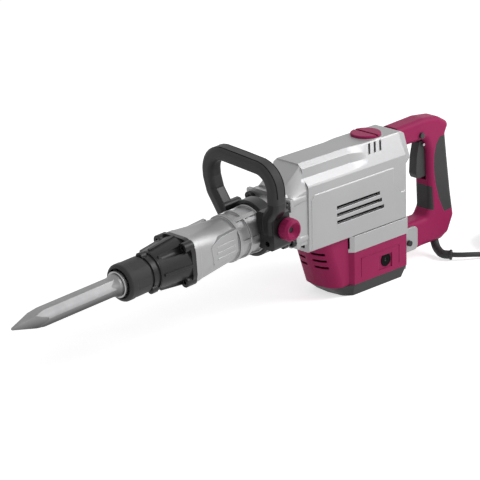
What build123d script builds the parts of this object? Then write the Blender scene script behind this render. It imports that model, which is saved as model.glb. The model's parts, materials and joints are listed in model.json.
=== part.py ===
"""Electric demolition hammer with a point chisel, a loop side handle and a D-handle.

Row frame: +Z up, +X towards the rear handle, -X towards the chisel, origin at the
centre of the flat underside of the rubber foot.  Everything driven by the impact
mechanism is built in a hammer frame (x up, y to the near side, z = distance behind
the nose ring), which leans nose-down by AXIS_TILT.  Lengths are in millimetres.
"""
from build123d import *
import os
from math import cos, hypot, pi, radians, sin, tan

os.makedirs("parts", exist_ok=True)

# ---------------------------------------------------------------- driving dimensions
AXIS_TILT = 3.2            # degrees, nose-down lean of the hammer axis
NOSE_X, NOSE_Z = -533.0, 148.0   # centre of the nose ring
RUN_FIT = 0.05             # radial running clearance of shafts, pistons and guides
SEAT_GAP = 0.3             # gap between curved faces that are not a fit
GASKET = 0.1               # gap at bolted, bonded and clipped joints

# tool, holder and release sleeve (z = distance behind the nose ring)
HEX_AF = 28.0              # hexagon of the chisel shank, across flats
HEX_PLAY = 0.15            # clearance per flat in the holder
CHISEL_OUT = 213.0         # shank in front of the nose ring
CHISEL_IN = 95.0           # shank behind the nose ring
POINT_LEN = 62.0
POINT_TIP = 3.0
COLLAR_R = 19.0
COLLAR_FRONT, COLLAR_BACK = -4.0, 9.0
FLARE_LEN = 30.0           # taper from the hexagon to the collar
CHISEL_TRAVEL = 18.0       # idle travel of chisel and impact bolt
HOLDER_R = 22.0
HOLDER_BODY_R = 27.0
HOLDER_FLANGE_R = 33.0
HOLDER_START = 1.0
HOLDER_STEP = 66.0
HOLDER_FLANGE_AT = 100.0
HOLDER_END = 112.0
SLEEVE_R, SLEEVE_ROUND = 31.5, 5.5
SLEEVE_START, SLEEVE_END = 7.0, 51.0
RECESS_R, RECESS_DEEP = 25.5, 6.0
PIN_R = 3.5                # tool retainer pin
PIN_AT = 40.0
PIN_UP = 14.5
PIN_HALF_LEN = 12.0

# tool retainer housing
NECK_START, NECK_R = 52.0, 30.5
BAND_R = 36.0
BELL_START = 71.0
BELL_R0, BELL_R1 = 33.5, 40.0
FLANGE_AT = 130.0
HOUSING_END = 139.0
FLANGE_W = 81.0
FLANGE_CORNER = 24.0
BOLT_OFF = 29.6            # retainer bolt offset, up and sideways
BOLT_R = 4.0               # M8 cap screws
BOLT_HEAD_R, BOLT_HEAD_H = 6.5, 8.0
TOWER_R, TOWER_LEN = 9.5, 11.0
BELL_FIN_W = 5.0
EAR_R = 7.5                # lifting ears beside the neck

# impact bolt and its guide
GUIDE_END = 178.0
STEM_R, STRIKER_R, TAIL_R = 14.0, 19.0, 12.0
STRIKER_AT, STRIKER_LEN = 142.5, 23.5
TAIL_END = 186.0
DAMPER_LEN = 9.0

# barrel and cylinder
CYL_R, CYL_BORE = 31.0, 25.0
CYL_START, CYL_END = 178.5, 452.0
BARREL_FLANGE_LEN = 11.0
BARREL_WAIST_R = 37.5
BARREL_WAIST_AT = 232.0
PANEL_NEAR = 40.2          # ribbed side panels of the barrel
PANEL = [(16, 174), (27, 196), (29, 232), (-10, 232), (-17, 178)]
COLLAR_AT, COLLAR_BAND_R = 238.0, 41.0
COLLAR_END = 300.0
REAR_FLANGE_AT, REAR_FLANGE_LEN = 343.0, 10.0
REAR_FLANGE_W = 88.0
REAR_FLANGE_LOW, REAR_FLANGE_TOP = -44.0, 50.0
REAR_BOLT_UP, REAR_BOLT_SIDE = 35.0, 36.0

# striking piston, rod and crank
RAM_AT, RAM_LEN, RAM_NOSE = 216.0, 46.0, 10.0
STROKE = 36.0
ROD_LEN = 110.0
CRANK_AT = 524.2           # crank axis, distance behind the nose ring
WRIST_R, CRANK_PIN_R = 6.0, 7.0
ROD_THICK = 14.0
SMALL_END_R, BIG_END_R = 12.0, 14.5
DISC_R, DISC_LOW, DISC_TOP = 30.0, -24.0, -10.0
CRANK_SHAFT_R = 8.5
CRANK_NECK_R = 12.5

# gear pair (module 1.25): pinion on the armature, gear on the crankshaft
MODULE = 1.25
PINION_TEETH, GEAR_TEETH = 11, 61
BACKLASH = 0.16            # tooth thinning, per tooth
GEAR_LOW, GEAR_TOP = -52.0, -41.0
MOTOR_AT = CRANK_AT + MODULE * (PINION_TEETH + GEAR_TEETH) / 2

# bearings: (outer radius, bore radius, width)
BEARING_CRANK_TOP = (23.5, 12.5, 12.0)
BEARING_CRANK_LOW = (20.0, 8.5, 12.0)
BEARING_ARM_TOP = (16.0, 6.0, 10.0)
BEARING_ARM_LOW = (13.0, 5.0, 8.0)

# motor
PLATE_LOW, PLATE_TOP = -66.0, -54.0
CORE_LOW, CORE_TOP = -120.0, -84.0
CORE_R, STATOR_BORE, STATOR_R = 24.0, 25.0, 41.5
FAN_LOW, FAN_TOP, FAN_R = -77.0, -69.0, 38.0
COMM_LOW, COMM_TOP, COMM_R = -144.0, -128.0, 15.0
BRUSH_UP = -136.0
BRUSH_CAP_R = 9.5
ARM_LOW = -155.0

# crankcase and deck
BODY_HALF_W = 48.0
CASE_FRONT = REAR_FLANGE_AT + REAR_FLANGE_LEN
CASE_WALL = 5.0
DECK_Z, DECK_HALF_W = 259.0, 30.0
SHOULDER_Z = 221.0
SEAM_Z = 107.0
CASE_X0 = -145.0
CASE_X1 = 94.0
LOBE_X1 = 107.0
LOBE_Z0 = 212.0
SKIRT_X0, SKIRT_Z = -45.0, 79.0
LUG_X0 = -129.0
VALLEY = [(24, 259.0), (33, 251.0), (36, 235.0), (46.1, 225.0)]
VALLEY_FADE = [(30, 259.2), (36.6, 245.4), (41.2, 235.6), (46.4, 224.8)]
VALLEY_X0, VALLEY_X1 = -32.0, 7.0    # where the valley starts to fade and where it ends
VENT_AT, VENT_W, VENT_LEAN = (16.3, 29.9, 43.6), 5.0, 3.8
VENT = [(27.5, 256), (35.1, 240), (60, 240), (60, 256)]
PANEL_Z, PANEL_OUT = 206.0, 1.2
LOUVRES = [(173.0, 27.0), (160.0, 32.0), (147.0, 37.0)]   # top edge and rear end
LOUVRE_X0, LOUVRE_H, LOUVRE_DEEP = -79.0, 6.5, 4.2
BOLT_BOSS_R, BOLT_BOSS_LEN = 11.0, 34.0
CAP_X = 45.0
CAP_BOSS_R, CAP_R = 30.5, 26.5
CAP_TOP = 263.5
CAP_PLUG_R = 21.0

# motor cover, foot and rear bracket
COVER_WALL = 3.5
COVER_Z0 = 20.0
NOSE_TOP_X, NOSE_LOW_X = -105.0, -76.0
NOSE_HALF_W, NOSE_CORNER = 41.0, 24.0
FOOT_FRONT_X, FOOT_REAR_X = -50.0, 84.0
BRACKET_T = 9.5
BRACKET_EAR_X = 149.0
EAR_LOW, EAR_TOP = 30.0, 73.0
CAP_POCKET = (23.0, 57.0, 28.5, 54.0)    # square pocket of a brush cap: X and Z limits

# rear handle
GRIP_HALF_W = 20.0
GRIP_EDGE = 10.0
LOCK_X, LOCK_Z, LOCK_R = 164.0, 233.0, 5.5
LOCK_TRAVEL = 3.0
TRIG_X, TRIG_Z = 178.0, 214.0
TRIG_HALF_W = 8.5
TRIG_TURN = 7.0

# side handle
RING_AT, RING_LEN = 297.0, 22.0
STRAP_T = 2.0
RING_WALL = 5.0
LOOP_AT = 291.0
LOOP_HALF_W = 75.0
LOOP_TOP_FAR, LOOP_TOP_NEAR = 129.0, 118.0
LOOP_SECTION_S, LOOP_SECTION_R = 29.0, 24.0
LOOP_CORNER = 36.0
GRIP_SEAM_UP = 64.0
KNOB_R, KNOB_T = 18.8, 18.0
KNOB_DISH_R = 11.0
KNOB_UP = 14.0
STUD_R = 5.0
LUG_OUT = 74.0
BOSS_LOW, BOSS_TOP = -20.0, 45.0

# power cord
CORD_R = 4.5
BOOT_R, BOOT_RIM_R = 7.6, 9.2
COIL_MEAN_R = 50.0
COIL_WIDE, COIL_LAYERS = 4, 4
CORD_LIE = CORD_R + 0.1      # height of the cord's centre on the floor

# ---------------------------------------------------------------- frames and helpers
TILT = radians(AXIS_TILT)
HAMMER = Plane(origin=(NOSE_X, 0, NOSE_Z), x_dir=(-sin(TILT), 0, cos(TILT)),
               z_dir=(cos(TILT), 0, sin(TILT)))
LOW = (Align.CENTER, Align.CENTER, Align.MIN)


def place(shape):
    """Move a shape from the hammer frame to the row frame."""
    return HAMMER.location * shape


def to_row(up, near, back):
    """Row-frame point of a hammer-frame point."""
    return (NOSE_X + back * cos(TILT) - up * sin(TILT), -near,
            NOSE_Z + back * sin(TILT) + up * cos(TILT))


def rod(r, s0, s1, up=0.0, near=0.0):
    return Pos(up, near, s0) * Cylinder(r, s1 - s0, align=LOW)


def tube(ro, ri, s0, s1, up=0.0, near=0.0):
    return rod(ro, s0, s1, up, near) - rod(ri, s0 - 1, s1 + 1, up, near)


def post(r, u0, u1, s, near=0.0):
    """Cylinder along the crank and armature axes (hammer frame, along x)."""
    return Pos(u0, near, s) * Rot(0, 90, 0) * Cylinder(r, u1 - u0, align=LOW)


def washer(ro, ri, u0, u1, s):
    return post(ro, u0, u1, s) - post(ri, u0 - 1, u1 + 1, s)


def cross(r, y0, y1, x, z):
    """Cylinder along Y in the row frame."""
    return Pos(x, y0, z) * Rot(-90, 0, 0) * Cylinder(r, y1 - y0, align=LOW)


def block(x0, x1, y0, y1, z0, z1):
    return Pos((x0 + x1) / 2, (y0 + y1) / 2, (z0 + z1) / 2) * Box(x1 - x0, y1 - y0, z1 - z0)


def turned(profile):
    """Solid of revolution about the hammer axis from (radius, s) points."""
    return revolve(Plane.XZ * make_face(Polyline(*profile, close=True)), Axis.Z)


def hexagon(across_flats, s0, s1):
    sketch = RegularPolygon(across_flats / 2, 6, major_radius=False, rotation=30)
    return extrude(Pos(0, 0, s0) * sketch, s1 - s0)


def side_plate(points, y0, y1, radii=None):
    """Prism of a side outline given in X, Z, from y0 to y1, corners rounded by radii."""
    face = make_face(Polyline(*[(x, z) for x, z in points], close=True))
    if radii:
        for point, radius in zip(points, radii):
            if radius:
                corner = [v for v in face.vertices() if hypot(v.X - point[0], v.Y - point[1]) < 1e-3]
                face = fillet(corner, radius)
    return extrude(Plane((0, y1, 0), x_dir=(1, 0, 0), z_dir=(0, -1, 0)) * face, y1 - y0)


def cap_screw(r, head_r, head_h, length, s_seat, up, near):
    """Socket cap screw along the hammer axis, head in front of s_seat."""
    screw = rod(head_r, s_seat - head_h, s_seat, up, near) + rod(r, s_seat, s_seat + length, up, near)
    socket = Pos(up, near, s_seat - head_h - 1) * extrude(
        RegularPolygon(head_r * 0.5, 6, major_radius=False), head_h * 0.55 + 1)
    return screw - socket


def corners(up, near):
    return [(a * up, b * near) for a in (1, -1) for b in (1, -1)]


def gear(teeth, low, top, s, phase, bore):
    """Spur gear about a crank-parallel axis, involute flanks as straight-sided teeth."""
    pitch = MODULE * teeth / 2
    tip, root = pitch + MODULE * 0.95, pitch - MODULE * 1.2
    half_pitch = (pi * MODULE / 4 - BACKLASH / 2) / pitch
    half_tip, half_root = half_pitch * 0.42, half_pitch * 1.5
    points = []
    for k in range(teeth):
        mid = 2 * pi * k / teeth + phase
        for r, a in ((root, -half_root), (pitch, -half_pitch), (tip, -half_tip),
                     (tip, half_tip), (pitch, half_pitch), (root, half_root)):
            points.append((r * cos(mid + a), r * sin(mid + a)))
    wheel = extrude(make_face(Polyline(*points, close=True)), top - low)
    wheel -= Pos(0, 0, -1) * Cylinder(bore, top - low + 2, align=LOW)
    return Pos(low, 0, s) * Rot(0, 90, 0) * wheel


def write(name, shape):
    export_step(shape, f"parts/{name}.step")


# ---------------------------------------------------------------- tool end
def chisel():
    shank = hexagon(HEX_AF, -CHISEL_OUT, CHISEL_IN)
    cone = loft([Pos(0, 0, -CHISEL_OUT) * Rectangle(POINT_TIP, POINT_TIP),
                 Pos(0, 0, -CHISEL_OUT + POINT_LEN) * Rectangle(HEX_AF * 1.06, HEX_AF * 1.06)])
    wide = HEX_AF * 1.3
    keep = cone + Pos(0, 0, -CHISEL_OUT + POINT_LEN) * Box(
        wide, wide, CHISEL_OUT + CHISEL_IN - POINT_LEN, align=LOW)
    front, flare = COLLAR_FRONT, FLARE_LEN
    collar = turned([(0, front - flare), (12, front - flare), (14.2, front - flare * 0.45),
                     (16.4, front - flare * 0.16), (COLLAR_R, front), (COLLAR_R, COLLAR_BACK - 8),
                     (12, COLLAR_BACK), (0, COLLAR_BACK)])
    notch = Pos(PIN_UP - PIN_R - SEAT_GAP, 0, PIN_AT - PIN_R - 1) * Box(
        20, 40, 2 * PIN_R + CHISEL_TRAVEL + 2, align=(Align.MIN, Align.CENTER, Align.MIN))
    return (shank & keep) + collar - notch


def tool_holder():
    body = turned([(0, HOLDER_START), (HOLDER_R - 1, HOLDER_START), (HOLDER_R, HOLDER_START + 1),
                   (HOLDER_R, HOLDER_STEP), (HOLDER_BODY_R, HOLDER_STEP),
                   (HOLDER_BODY_R, HOLDER_FLANGE_AT), (HOLDER_FLANGE_R, HOLDER_FLANGE_AT),
                   (HOLDER_FLANGE_R, HOLDER_END), (0, HOLDER_END)])
    body -= hexagon(HEX_AF + 2 * HEX_PLAY, COLLAR_BACK - 1, CHISEL_IN + 1)
    body -= rod(COLLAR_R + SEAT_GAP, HOLDER_START - 1, COLLAR_BACK + SEAT_GAP)
    body -= rod(STEM_R + SEAT_GAP, CHISEL_IN, HOLDER_END + 1)
    body -= retainer_pin_blank(RUN_FIT)
    return body


def retainer_pin_blank(grow=0.0):
    half = PIN_HALF_LEN + grow
    return Pos(PIN_UP, -half, PIN_AT) * Rot(-90, 0, 0) * Cylinder(PIN_R + grow, 2 * half, align=LOW)


def release_sleeve():
    sleeve = rod(SLEEVE_R, SLEEVE_START, SLEEVE_END)
    sleeve = fillet(sleeve.edges().filter_by(GeomType.CIRCLE).sort_by(Axis.Z)[0], SLEEVE_ROUND)
    sleeve -= rod(RECESS_R, SLEEVE_START - 1, SLEEVE_START + RECESS_DEEP)
    sleeve -= rod(HOLDER_R + SEAT_GAP, SLEEVE_START - 1, SLEEVE_END + 1)
    for k in range(6):
        flat = Pos(SLEEVE_R - 1.1, 0, SLEEVE_START + 14) * Box(
            6, 15, 50, align=(Align.MIN, Align.CENTER, Align.MIN))
        sleeve -= Rot(0, 0, 60 * k + 30) * flat
    return sleeve


def retainer_housing():
    end = HOUSING_END
    body = turned([(0, NECK_START), (28, NECK_START), (28, NECK_START + 4), (NECK_R, NECK_START + 5),
                   (NECK_R, NECK_START + 17), (33, NECK_START + 17), (33, BELL_START),
                   (BELL_R0, BELL_START), (BELL_R1, FLANGE_AT - 6), (BELL_R1, end), (0, end)])
    plate = extrude(Pos(0, 0, FLANGE_AT) * RectangleRounded(FLANGE_W, FLANGE_W, FLANGE_CORNER),
                    end - FLANGE_AT)
    body += plate
    for up, near in corners(BOLT_OFF, BOLT_OFF):
        body += rod(TOWER_R, end - TOWER_LEN - 8, end, up * 0.97, near * 0.97)
    fin = extrude(Plane.XZ * make_face(Polyline(
        (28, BELL_START + 4), (BELL_R0 + 3, BELL_START + 4), (BELL_R1 + 2.5, FLANGE_AT),
        (28, FLANGE_AT), close=True)), BELL_FIN_W / 2, both=True)
    for turn in (0, 38, 90, 142, 180, 218, 270, 322):
        body += Rot(0, 0, turn) * fin
    for turn in (0, 135, 225):
        body += Rot(0, 0, turn) * rod(EAR_R, NECK_START + 1, NECK_START + 12, NECK_R - 1)
    body -= rod(HOLDER_R + SEAT_GAP, NECK_START - 1, HOLDER_STEP + GASKET)
    body -= rod(HOLDER_BODY_R + GASKET, HOLDER_STEP, HOLDER_FLANGE_AT + 1)
    body -= rod(HOLDER_FLANGE_R + GASKET, HOLDER_FLANGE_AT - GASKET, end + 1)
    for up, near in corners(BOLT_OFF, BOLT_OFF):
        body -= rod(BOLT_R + GASKET, BELL_START, end + 1, up, near)
        body -= rod(BOLT_HEAD_R + 0.7, BELL_START, FLANGE_AT - 2, up, near)
    return body


def retainer_bolts():
    return Compound([cap_screw(BOLT_R, BOLT_HEAD_R, BOLT_HEAD_H, 23, FLANGE_AT - 2, up, near)
                     for up, near in corners(BOLT_OFF, BOLT_OFF)])


# ---------------------------------------------------------------- impact mechanism
def bolt_guide():
    guide = rod(HOLDER_FLANGE_R, HOLDER_END + GASKET, HOUSING_END)
    guide += rod(CYL_R, HOUSING_END, GUIDE_END)
    guide -= rod(STEM_R + RUN_FIT, HOLDER_END - 1, HOLDER_END + 13)
    guide -= rod(STRIKER_R + RUN_FIT, STRIKER_AT - CHISEL_TRAVEL - 0.5, GUIDE_END + 1)
    return guide


def impact_bolt():
    end = STRIKER_AT + STRIKER_LEN
    return turned([(0, CHISEL_IN + 0.5), (STEM_R - 2, CHISEL_IN + 0.5), (STEM_R, CHISEL_IN + 2.5),
                   (STEM_R, STRIKER_AT), (STRIKER_R, STRIKER_AT), (STRIKER_R, end),
                   (TAIL_R, end), (TAIL_R, TAIL_END), (0, TAIL_END)])


def impact_damper():
    end = GUIDE_END - 1
    return tube(STRIKER_R, TAIL_R + SEAT_GAP, end - DAMPER_LEN, end)


def cylinder_tube():
    return tube(CYL_R, CYL_BORE, CYL_START, CYL_END)


def ram():
    back = RAM_AT + RAM_LEN
    body = turned([(0, RAM_AT - RAM_NOSE), (TAIL_R, RAM_AT - RAM_NOSE), (TAIL_R, RAM_AT),
                   (CYL_BORE - RUN_FIT, RAM_AT), (CYL_BORE - RUN_FIT, back), (0, back)])
    return body - ram_groove(0)


def ram_groove(gap):
    at = RAM_AT + RAM_LEN * 0.5
    return tube(CYL_BORE + 1, CYL_BORE - 3 + gap, at - 2 + gap, at + 2 - gap)


def seal_ring(at):
    return tube(CYL_BORE - RUN_FIT, CYL_BORE - 3 + GASKET, at - 2 + GASKET, at + 2 - GASKET)


WRIST_AT = CRANK_AT - STROKE / 2 - ROD_LEN
PISTON_FRONT, PISTON_BACK = WRIST_AT - 24.0, WRIST_AT + 16.0


def piston():
    body = rod(CYL_BORE - RUN_FIT, PISTON_FRONT, PISTON_BACK)
    body -= tube(CYL_BORE + 1, CYL_BORE - 3, PISTON_FRONT + 6, PISTON_FRONT + 10)
    body -= Pos(0, 0, WRIST_AT - SMALL_END_R - 1.5) * Box(
        ROD_THICK + 1.0, 36, 60, align=LOW)
    body -= post(WRIST_R + 0.02, -CYL_BORE, CYL_BORE, WRIST_AT)
    return body


def wrist_pin():
    return post(WRIST_R, -21, 21, WRIST_AT) - post(WRIST_R - 2.5, -22, 22, WRIST_AT)


def connecting_rod():
    big = CRANK_AT - STROKE / 2
    half = ROD_THICK / 2
    body = post(SMALL_END_R, -half, half, WRIST_AT) + post(BIG_END_R, -half, half, big)
    body += Pos(0, 0, WRIST_AT) * Box(ROD_THICK - 4, 13, ROD_LEN, align=LOW)
    body -= post(WRIST_R + RUN_FIT, -half - 1, half + 1, WRIST_AT)
    body -= post(CRANK_PIN_R, -half - 1, half + 1, big)
    return body


def crank_pin():
    big = CRANK_AT - STROKE / 2
    return post(CRANK_PIN_R, DISC_TOP + SEAT_GAP, ROD_THICK / 2 + 2, big)


def crankshaft():
    body = post(DISC_R, DISC_LOW, DISC_TOP, CRANK_AT)
    body += post(CRANK_NECK_R, GEAR_TOP, DISC_LOW, CRANK_AT)
    body += post(CRANK_SHAFT_R, PLATE_LOW + 1, GEAR_TOP, CRANK_AT)
    for near in (1, -1):
        body -= Pos(DISC_LOW - 1, near * 27, CRANK_AT - 16) * Box(
            DISC_TOP - DISC_LOW + 2, 18, 24, align=(Align.MIN, Align.CENTER, Align.CENTER))
    return body


def bearing(spec, u0, s):
    """Deep groove ball bearing: two races joined by a row of balls in a cage ring."""
    ro, ri, width = spec
    wall = (ro - ri) * 0.27
    outer = washer(ro, ro - wall, u0, u0 + width, s)
    inner = washer(ri + wall, ri + RUN_FIT, u0, u0 + width, s)
    cage = washer(ro - wall, ri + wall, u0 + width * 0.25, u0 + width * 0.75, s)
    return outer + inner + cage


def armature():
    shaft = post(5.0, ARM_LOW, COMM_TOP, MOTOR_AT) + post(6.0, COMM_TOP, PLATE_TOP + 1, MOTOR_AT)
    shaft += gear(PINION_TEETH, PLATE_TOP + 1, GEAR_TOP, MOTOR_AT, 0.0, 0.01)
    core = post(CORE_R, CORE_LOW, CORE_TOP, MOTOR_AT)
    for k in range(12):
        slot = Pos(CORE_LOW - 1, 0, 0) * Rot(0, 90, 0) * Rot(0, 0, 30 * k) * Pos(CORE_R - 4, 0, 0) * Box(
            9, 2.4, CORE_TOP - CORE_LOW + 2, align=LOW)
        core -= Pos(0, 0, MOTOR_AT) * slot
    return shaft + core


def armature_fan():
    low, top = FAN_LOW, FAN_TOP
    fan = washer(12, 6.0, low, top, MOTOR_AT) + washer(FAN_R, 6.0, top - 1.6, top, MOTOR_AT)
    for k in range(14):
        blade = Rot(0, 90, 0) * Rot(0, 0, 360 / 14 * k) * Pos(24, 0, 0) * Box(
            26, 1.6, top - low, align=LOW)
        fan += Pos(low, 0, MOTOR_AT) * blade
    return fan


def commutator():
    body = washer(COMM_R, 5.0, COMM_LOW, COMM_TOP, MOTOR_AT)
    for k in range(24):
        slit = Pos(COMM_LOW - 1, 0, MOTOR_AT) * Rot(0, 90, 0) * Rot(0, 0, 15 * k) * Pos(COMM_R, 0, 0) * Box(
            1.6, 0.7, COMM_TOP - COMM_LOW + 2, align=LOW)
        body -= slit
    return body


def stator_core():
    ring_part = washer(STATOR_R, STATOR_R - 7, CORE_LOW, CORE_TOP, MOTOR_AT)
    poles = washer(STATOR_R - 6, STATOR_BORE, CORE_LOW, CORE_TOP, MOTOR_AT)
    keep = Pos(CORE_LOW, 0, MOTOR_AT) * Box(
        CORE_TOP - CORE_LOW, 200, 34, align=(Align.MIN, Align.CENTER, Align.CENTER))
    return ring_part + (poles & keep)


def stator_windings():
    low, top = CORE_LOW - 5, CORE_TOP + 5
    zone = washer(STATOR_R - 8, STATOR_BORE + 1, low, top, MOTOR_AT)
    coils = []
    for turn in (0, 1):
        side = Pos(low, 0, MOTOR_AT + (1 - 2 * turn) * (17.8 + 10)) * Box(
            top - low, 200, 20, align=(Align.MIN, Align.CENTER, Align.CENTER))
        coils.append(zone & side)
    return Compound([c.solids()[0] if len(c.solids()) == 1 else c for c in coils])


def brush_parts():
    """Brush holders, carbon brushes and screw caps on both sides of the commutator."""
    holders, brushes, caps = [], [], []
    wall_y = BODY_HALF_W
    for side in (1, -1):
        def along(r, y0, y1):
            lo, hi = sorted((side * y0, side * y1))
            return Pos(BRUSH_UP, lo, MOTOR_AT) * Rot(-90, 0, 0) * Cylinder(r, hi - lo, align=LOW)

        def brick(w, h, y0, y1):
            return Pos(BRUSH_UP, side * (y0 + y1) / 2, MOTOR_AT) * Box(w, abs(y1 - y0), h)
        holders.append(along(8.5, 20, wall_y - 5.2 - GASKET) - brick(10.2, 7.2, 15, wall_y))
        brushes.append(brick(10, 7, COMM_R + RUN_FIT, 34))
        cap = along(BRUSH_CAP_R, wall_y - 5.2, wall_y - 2.2) + brick(9, 6.4, 34.2, wall_y - 5.2)
        cap -= brick(3, 12, wall_y - 3.6, wall_y)
        caps.append(cap)
    return Compound(holders), Compound(brushes), Compound(caps)


# ---------------------------------------------------------------- barrel and crankcase
def barrel():
    start, rear = HOUSING_END, REAR_FLANGE_AT
    nose = Pos(0, 0, start) * RectangleRounded(FLANGE_W, FLANGE_W, FLANGE_CORNER)
    body = extrude(nose, BARREL_FLANGE_LEN)
    mid = Pos(0, 0, start + BARREL_FLANGE_LEN) * RectangleRounded(
        FLANGE_W - 1, FLANGE_W - 1, FLANGE_CORNER)
    waist = Pos(0, 0, BARREL_WAIST_AT) * RectangleRounded(
        2 * BARREL_WAIST_R, 2 * BARREL_WAIST_R, BARREL_WAIST_R - 0.5)
    body += loft([mid, waist])
    body += rod(BARREL_WAIST_R, BARREL_WAIST_AT - 1, rear)
    for s0, s1 in ((COLLAR_AT, COLLAR_AT + 6), (COLLAR_AT + 24, COLLAR_AT + 28),
                   (COLLAR_END - 6, COLLAR_END)):
        body += rod(COLLAR_BAND_R, s0, s1)
    for k in range(6):
        rib = Pos(BARREL_WAIST_R - 4, 0, COLLAR_AT) * Box(
            COLLAR_BAND_R - BARREL_WAIST_R + 3.5, 7, COLLAR_END - COLLAR_AT,
            align=(Align.MIN, Align.CENTER, Align.MIN))
        body += Rot(0, 0, 60 * k + 30) * rib
    body += rod(COLLAR_BAND_R, COLLAR_END - 1, rear)
    flange = make_face(Polyline(*flange_outline(REAR_FLANGE_LOW, REAR_FLANGE_TOP, REAR_FLANGE_W / 2),
                                close=True))
    body += extrude(Pos(0, 0, rear) * flange, REAR_FLANGE_LEN)
    for near in (1, -1):
        body -= barrel_panel(near, PANEL_NEAR, 60)
        body += barrel_panel(near, CYL_R + 2, PANEL_NEAR)
        for up in (-9, 1, 11):
            body += Pos(up, near * PANEL_NEAR, PANEL[0][1] + 12) * Rot(0, 2 * near, 0) * Box(
                3, 2, 40, align=(Align.CENTER, Align.CENTER, Align.MIN))
    body -= rod(CYL_R + RUN_FIT, start - 1, CASE_FRONT + 1)
    for up, near in corners(BOLT_OFF, BOLT_OFF):
        body -= rod(BOLT_R, start - 1, start + 13, up, near)
    for up, near in corners(REAR_BOLT_UP, REAR_BOLT_SIDE):
        body -= rod(BOLT_R + GASKET, rear - 1, CASE_FRONT + 1, up, near)
    return body


def barrel_panel(side, near0, near1):
    """Prism of the side panel's outline between two distances from the axis."""
    face = make_face(Polyline(*[(up, s) for up, s in PANEL], close=True))
    low, high = sorted((side * near0, side * near1))
    return extrude(Plane((0, high, 0), x_dir=(1, 0, 0), z_dir=(0, -1, 0)) * face, high - low)


def flange_outline(low, top, half):
    """Eight-cornered flange outline in hammer-frame (up, near)."""
    cut = 10
    return [(low, half - cut), (low + cut, half), (top - cut, half), (top, half - cut),
            (top, cut - half), (top - cut, -half), (low + cut, -half), (low, cut - half)]


def barrel_bolts():
    return Compound([cap_screw(BOLT_R, BOLT_HEAD_R, BOLT_HEAD_H, REAR_FLANGE_LEN + 9,
                               REAR_FLANGE_AT, up, near)
                     for up, near in corners(REAR_BOLT_UP, REAR_BOLT_SIDE)])


def case_section(x, low, half, shoulder, top, deck_half):
    """Cross-section of the crankcase in the row frame at x, with sloping shoulders."""
    points = [(-half, low), (half, low), (half, shoulder), (deck_half, top),
              (-deck_half, top), (-half, shoulder)]
    plane = Plane((x, 0, 0), x_dir=(0, 1, 0), z_dir=(1, 0, 0))
    return plane * make_face(Polyline(*points, close=True))


def shoulder_section(x, points):
    """Section outside a line of (y, z) points, used to cut the near shoulder at x."""
    top = DECK_Z + 12
    outline = points + [(BODY_HALF_W + 12, points[-1][1]), (BODY_HALF_W + 12, top), (points[0][0], top)]
    plane = Plane((x, 0, 0), x_dir=(0, 1, 0), z_dir=(1, 0, 0))
    return plane * make_face(Polyline(*[(-y, z) for y, z in outline], close=True))


def shoulder_cuts():
    """Valley along the front of the near shoulder, fading out, and the vents behind it."""
    front = CASE_X0 - 30
    cuts = extrude(shoulder_section(front, VALLEY), VALLEY_X0 - front)
    cuts += loft([shoulder_section(VALLEY_X0, VALLEY), shoulder_section(VALLEY_X1, VALLEY_FADE)])
    for x in VENT_AT:
        floor = make_face(Polyline(*[(-y, z) for y, z in VENT], close=True))
        vent = extrude(Plane((x - 20, 0, 0), x_dir=(0, 1, 0), z_dir=(1, 0, 0)) * floor, 40)
        low, top = x - VENT_LEAN, x + VENT_LEAN
        cuts += vent & side_plate([(low - VENT_W / 2, VENT[1][1]), (low + VENT_W / 2, VENT[1][1]),
                                   (top + VENT_W / 2, VENT[0][1]), (top - VENT_W / 2, VENT[0][1])],
                                  -60, 0)
    return cuts


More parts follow.
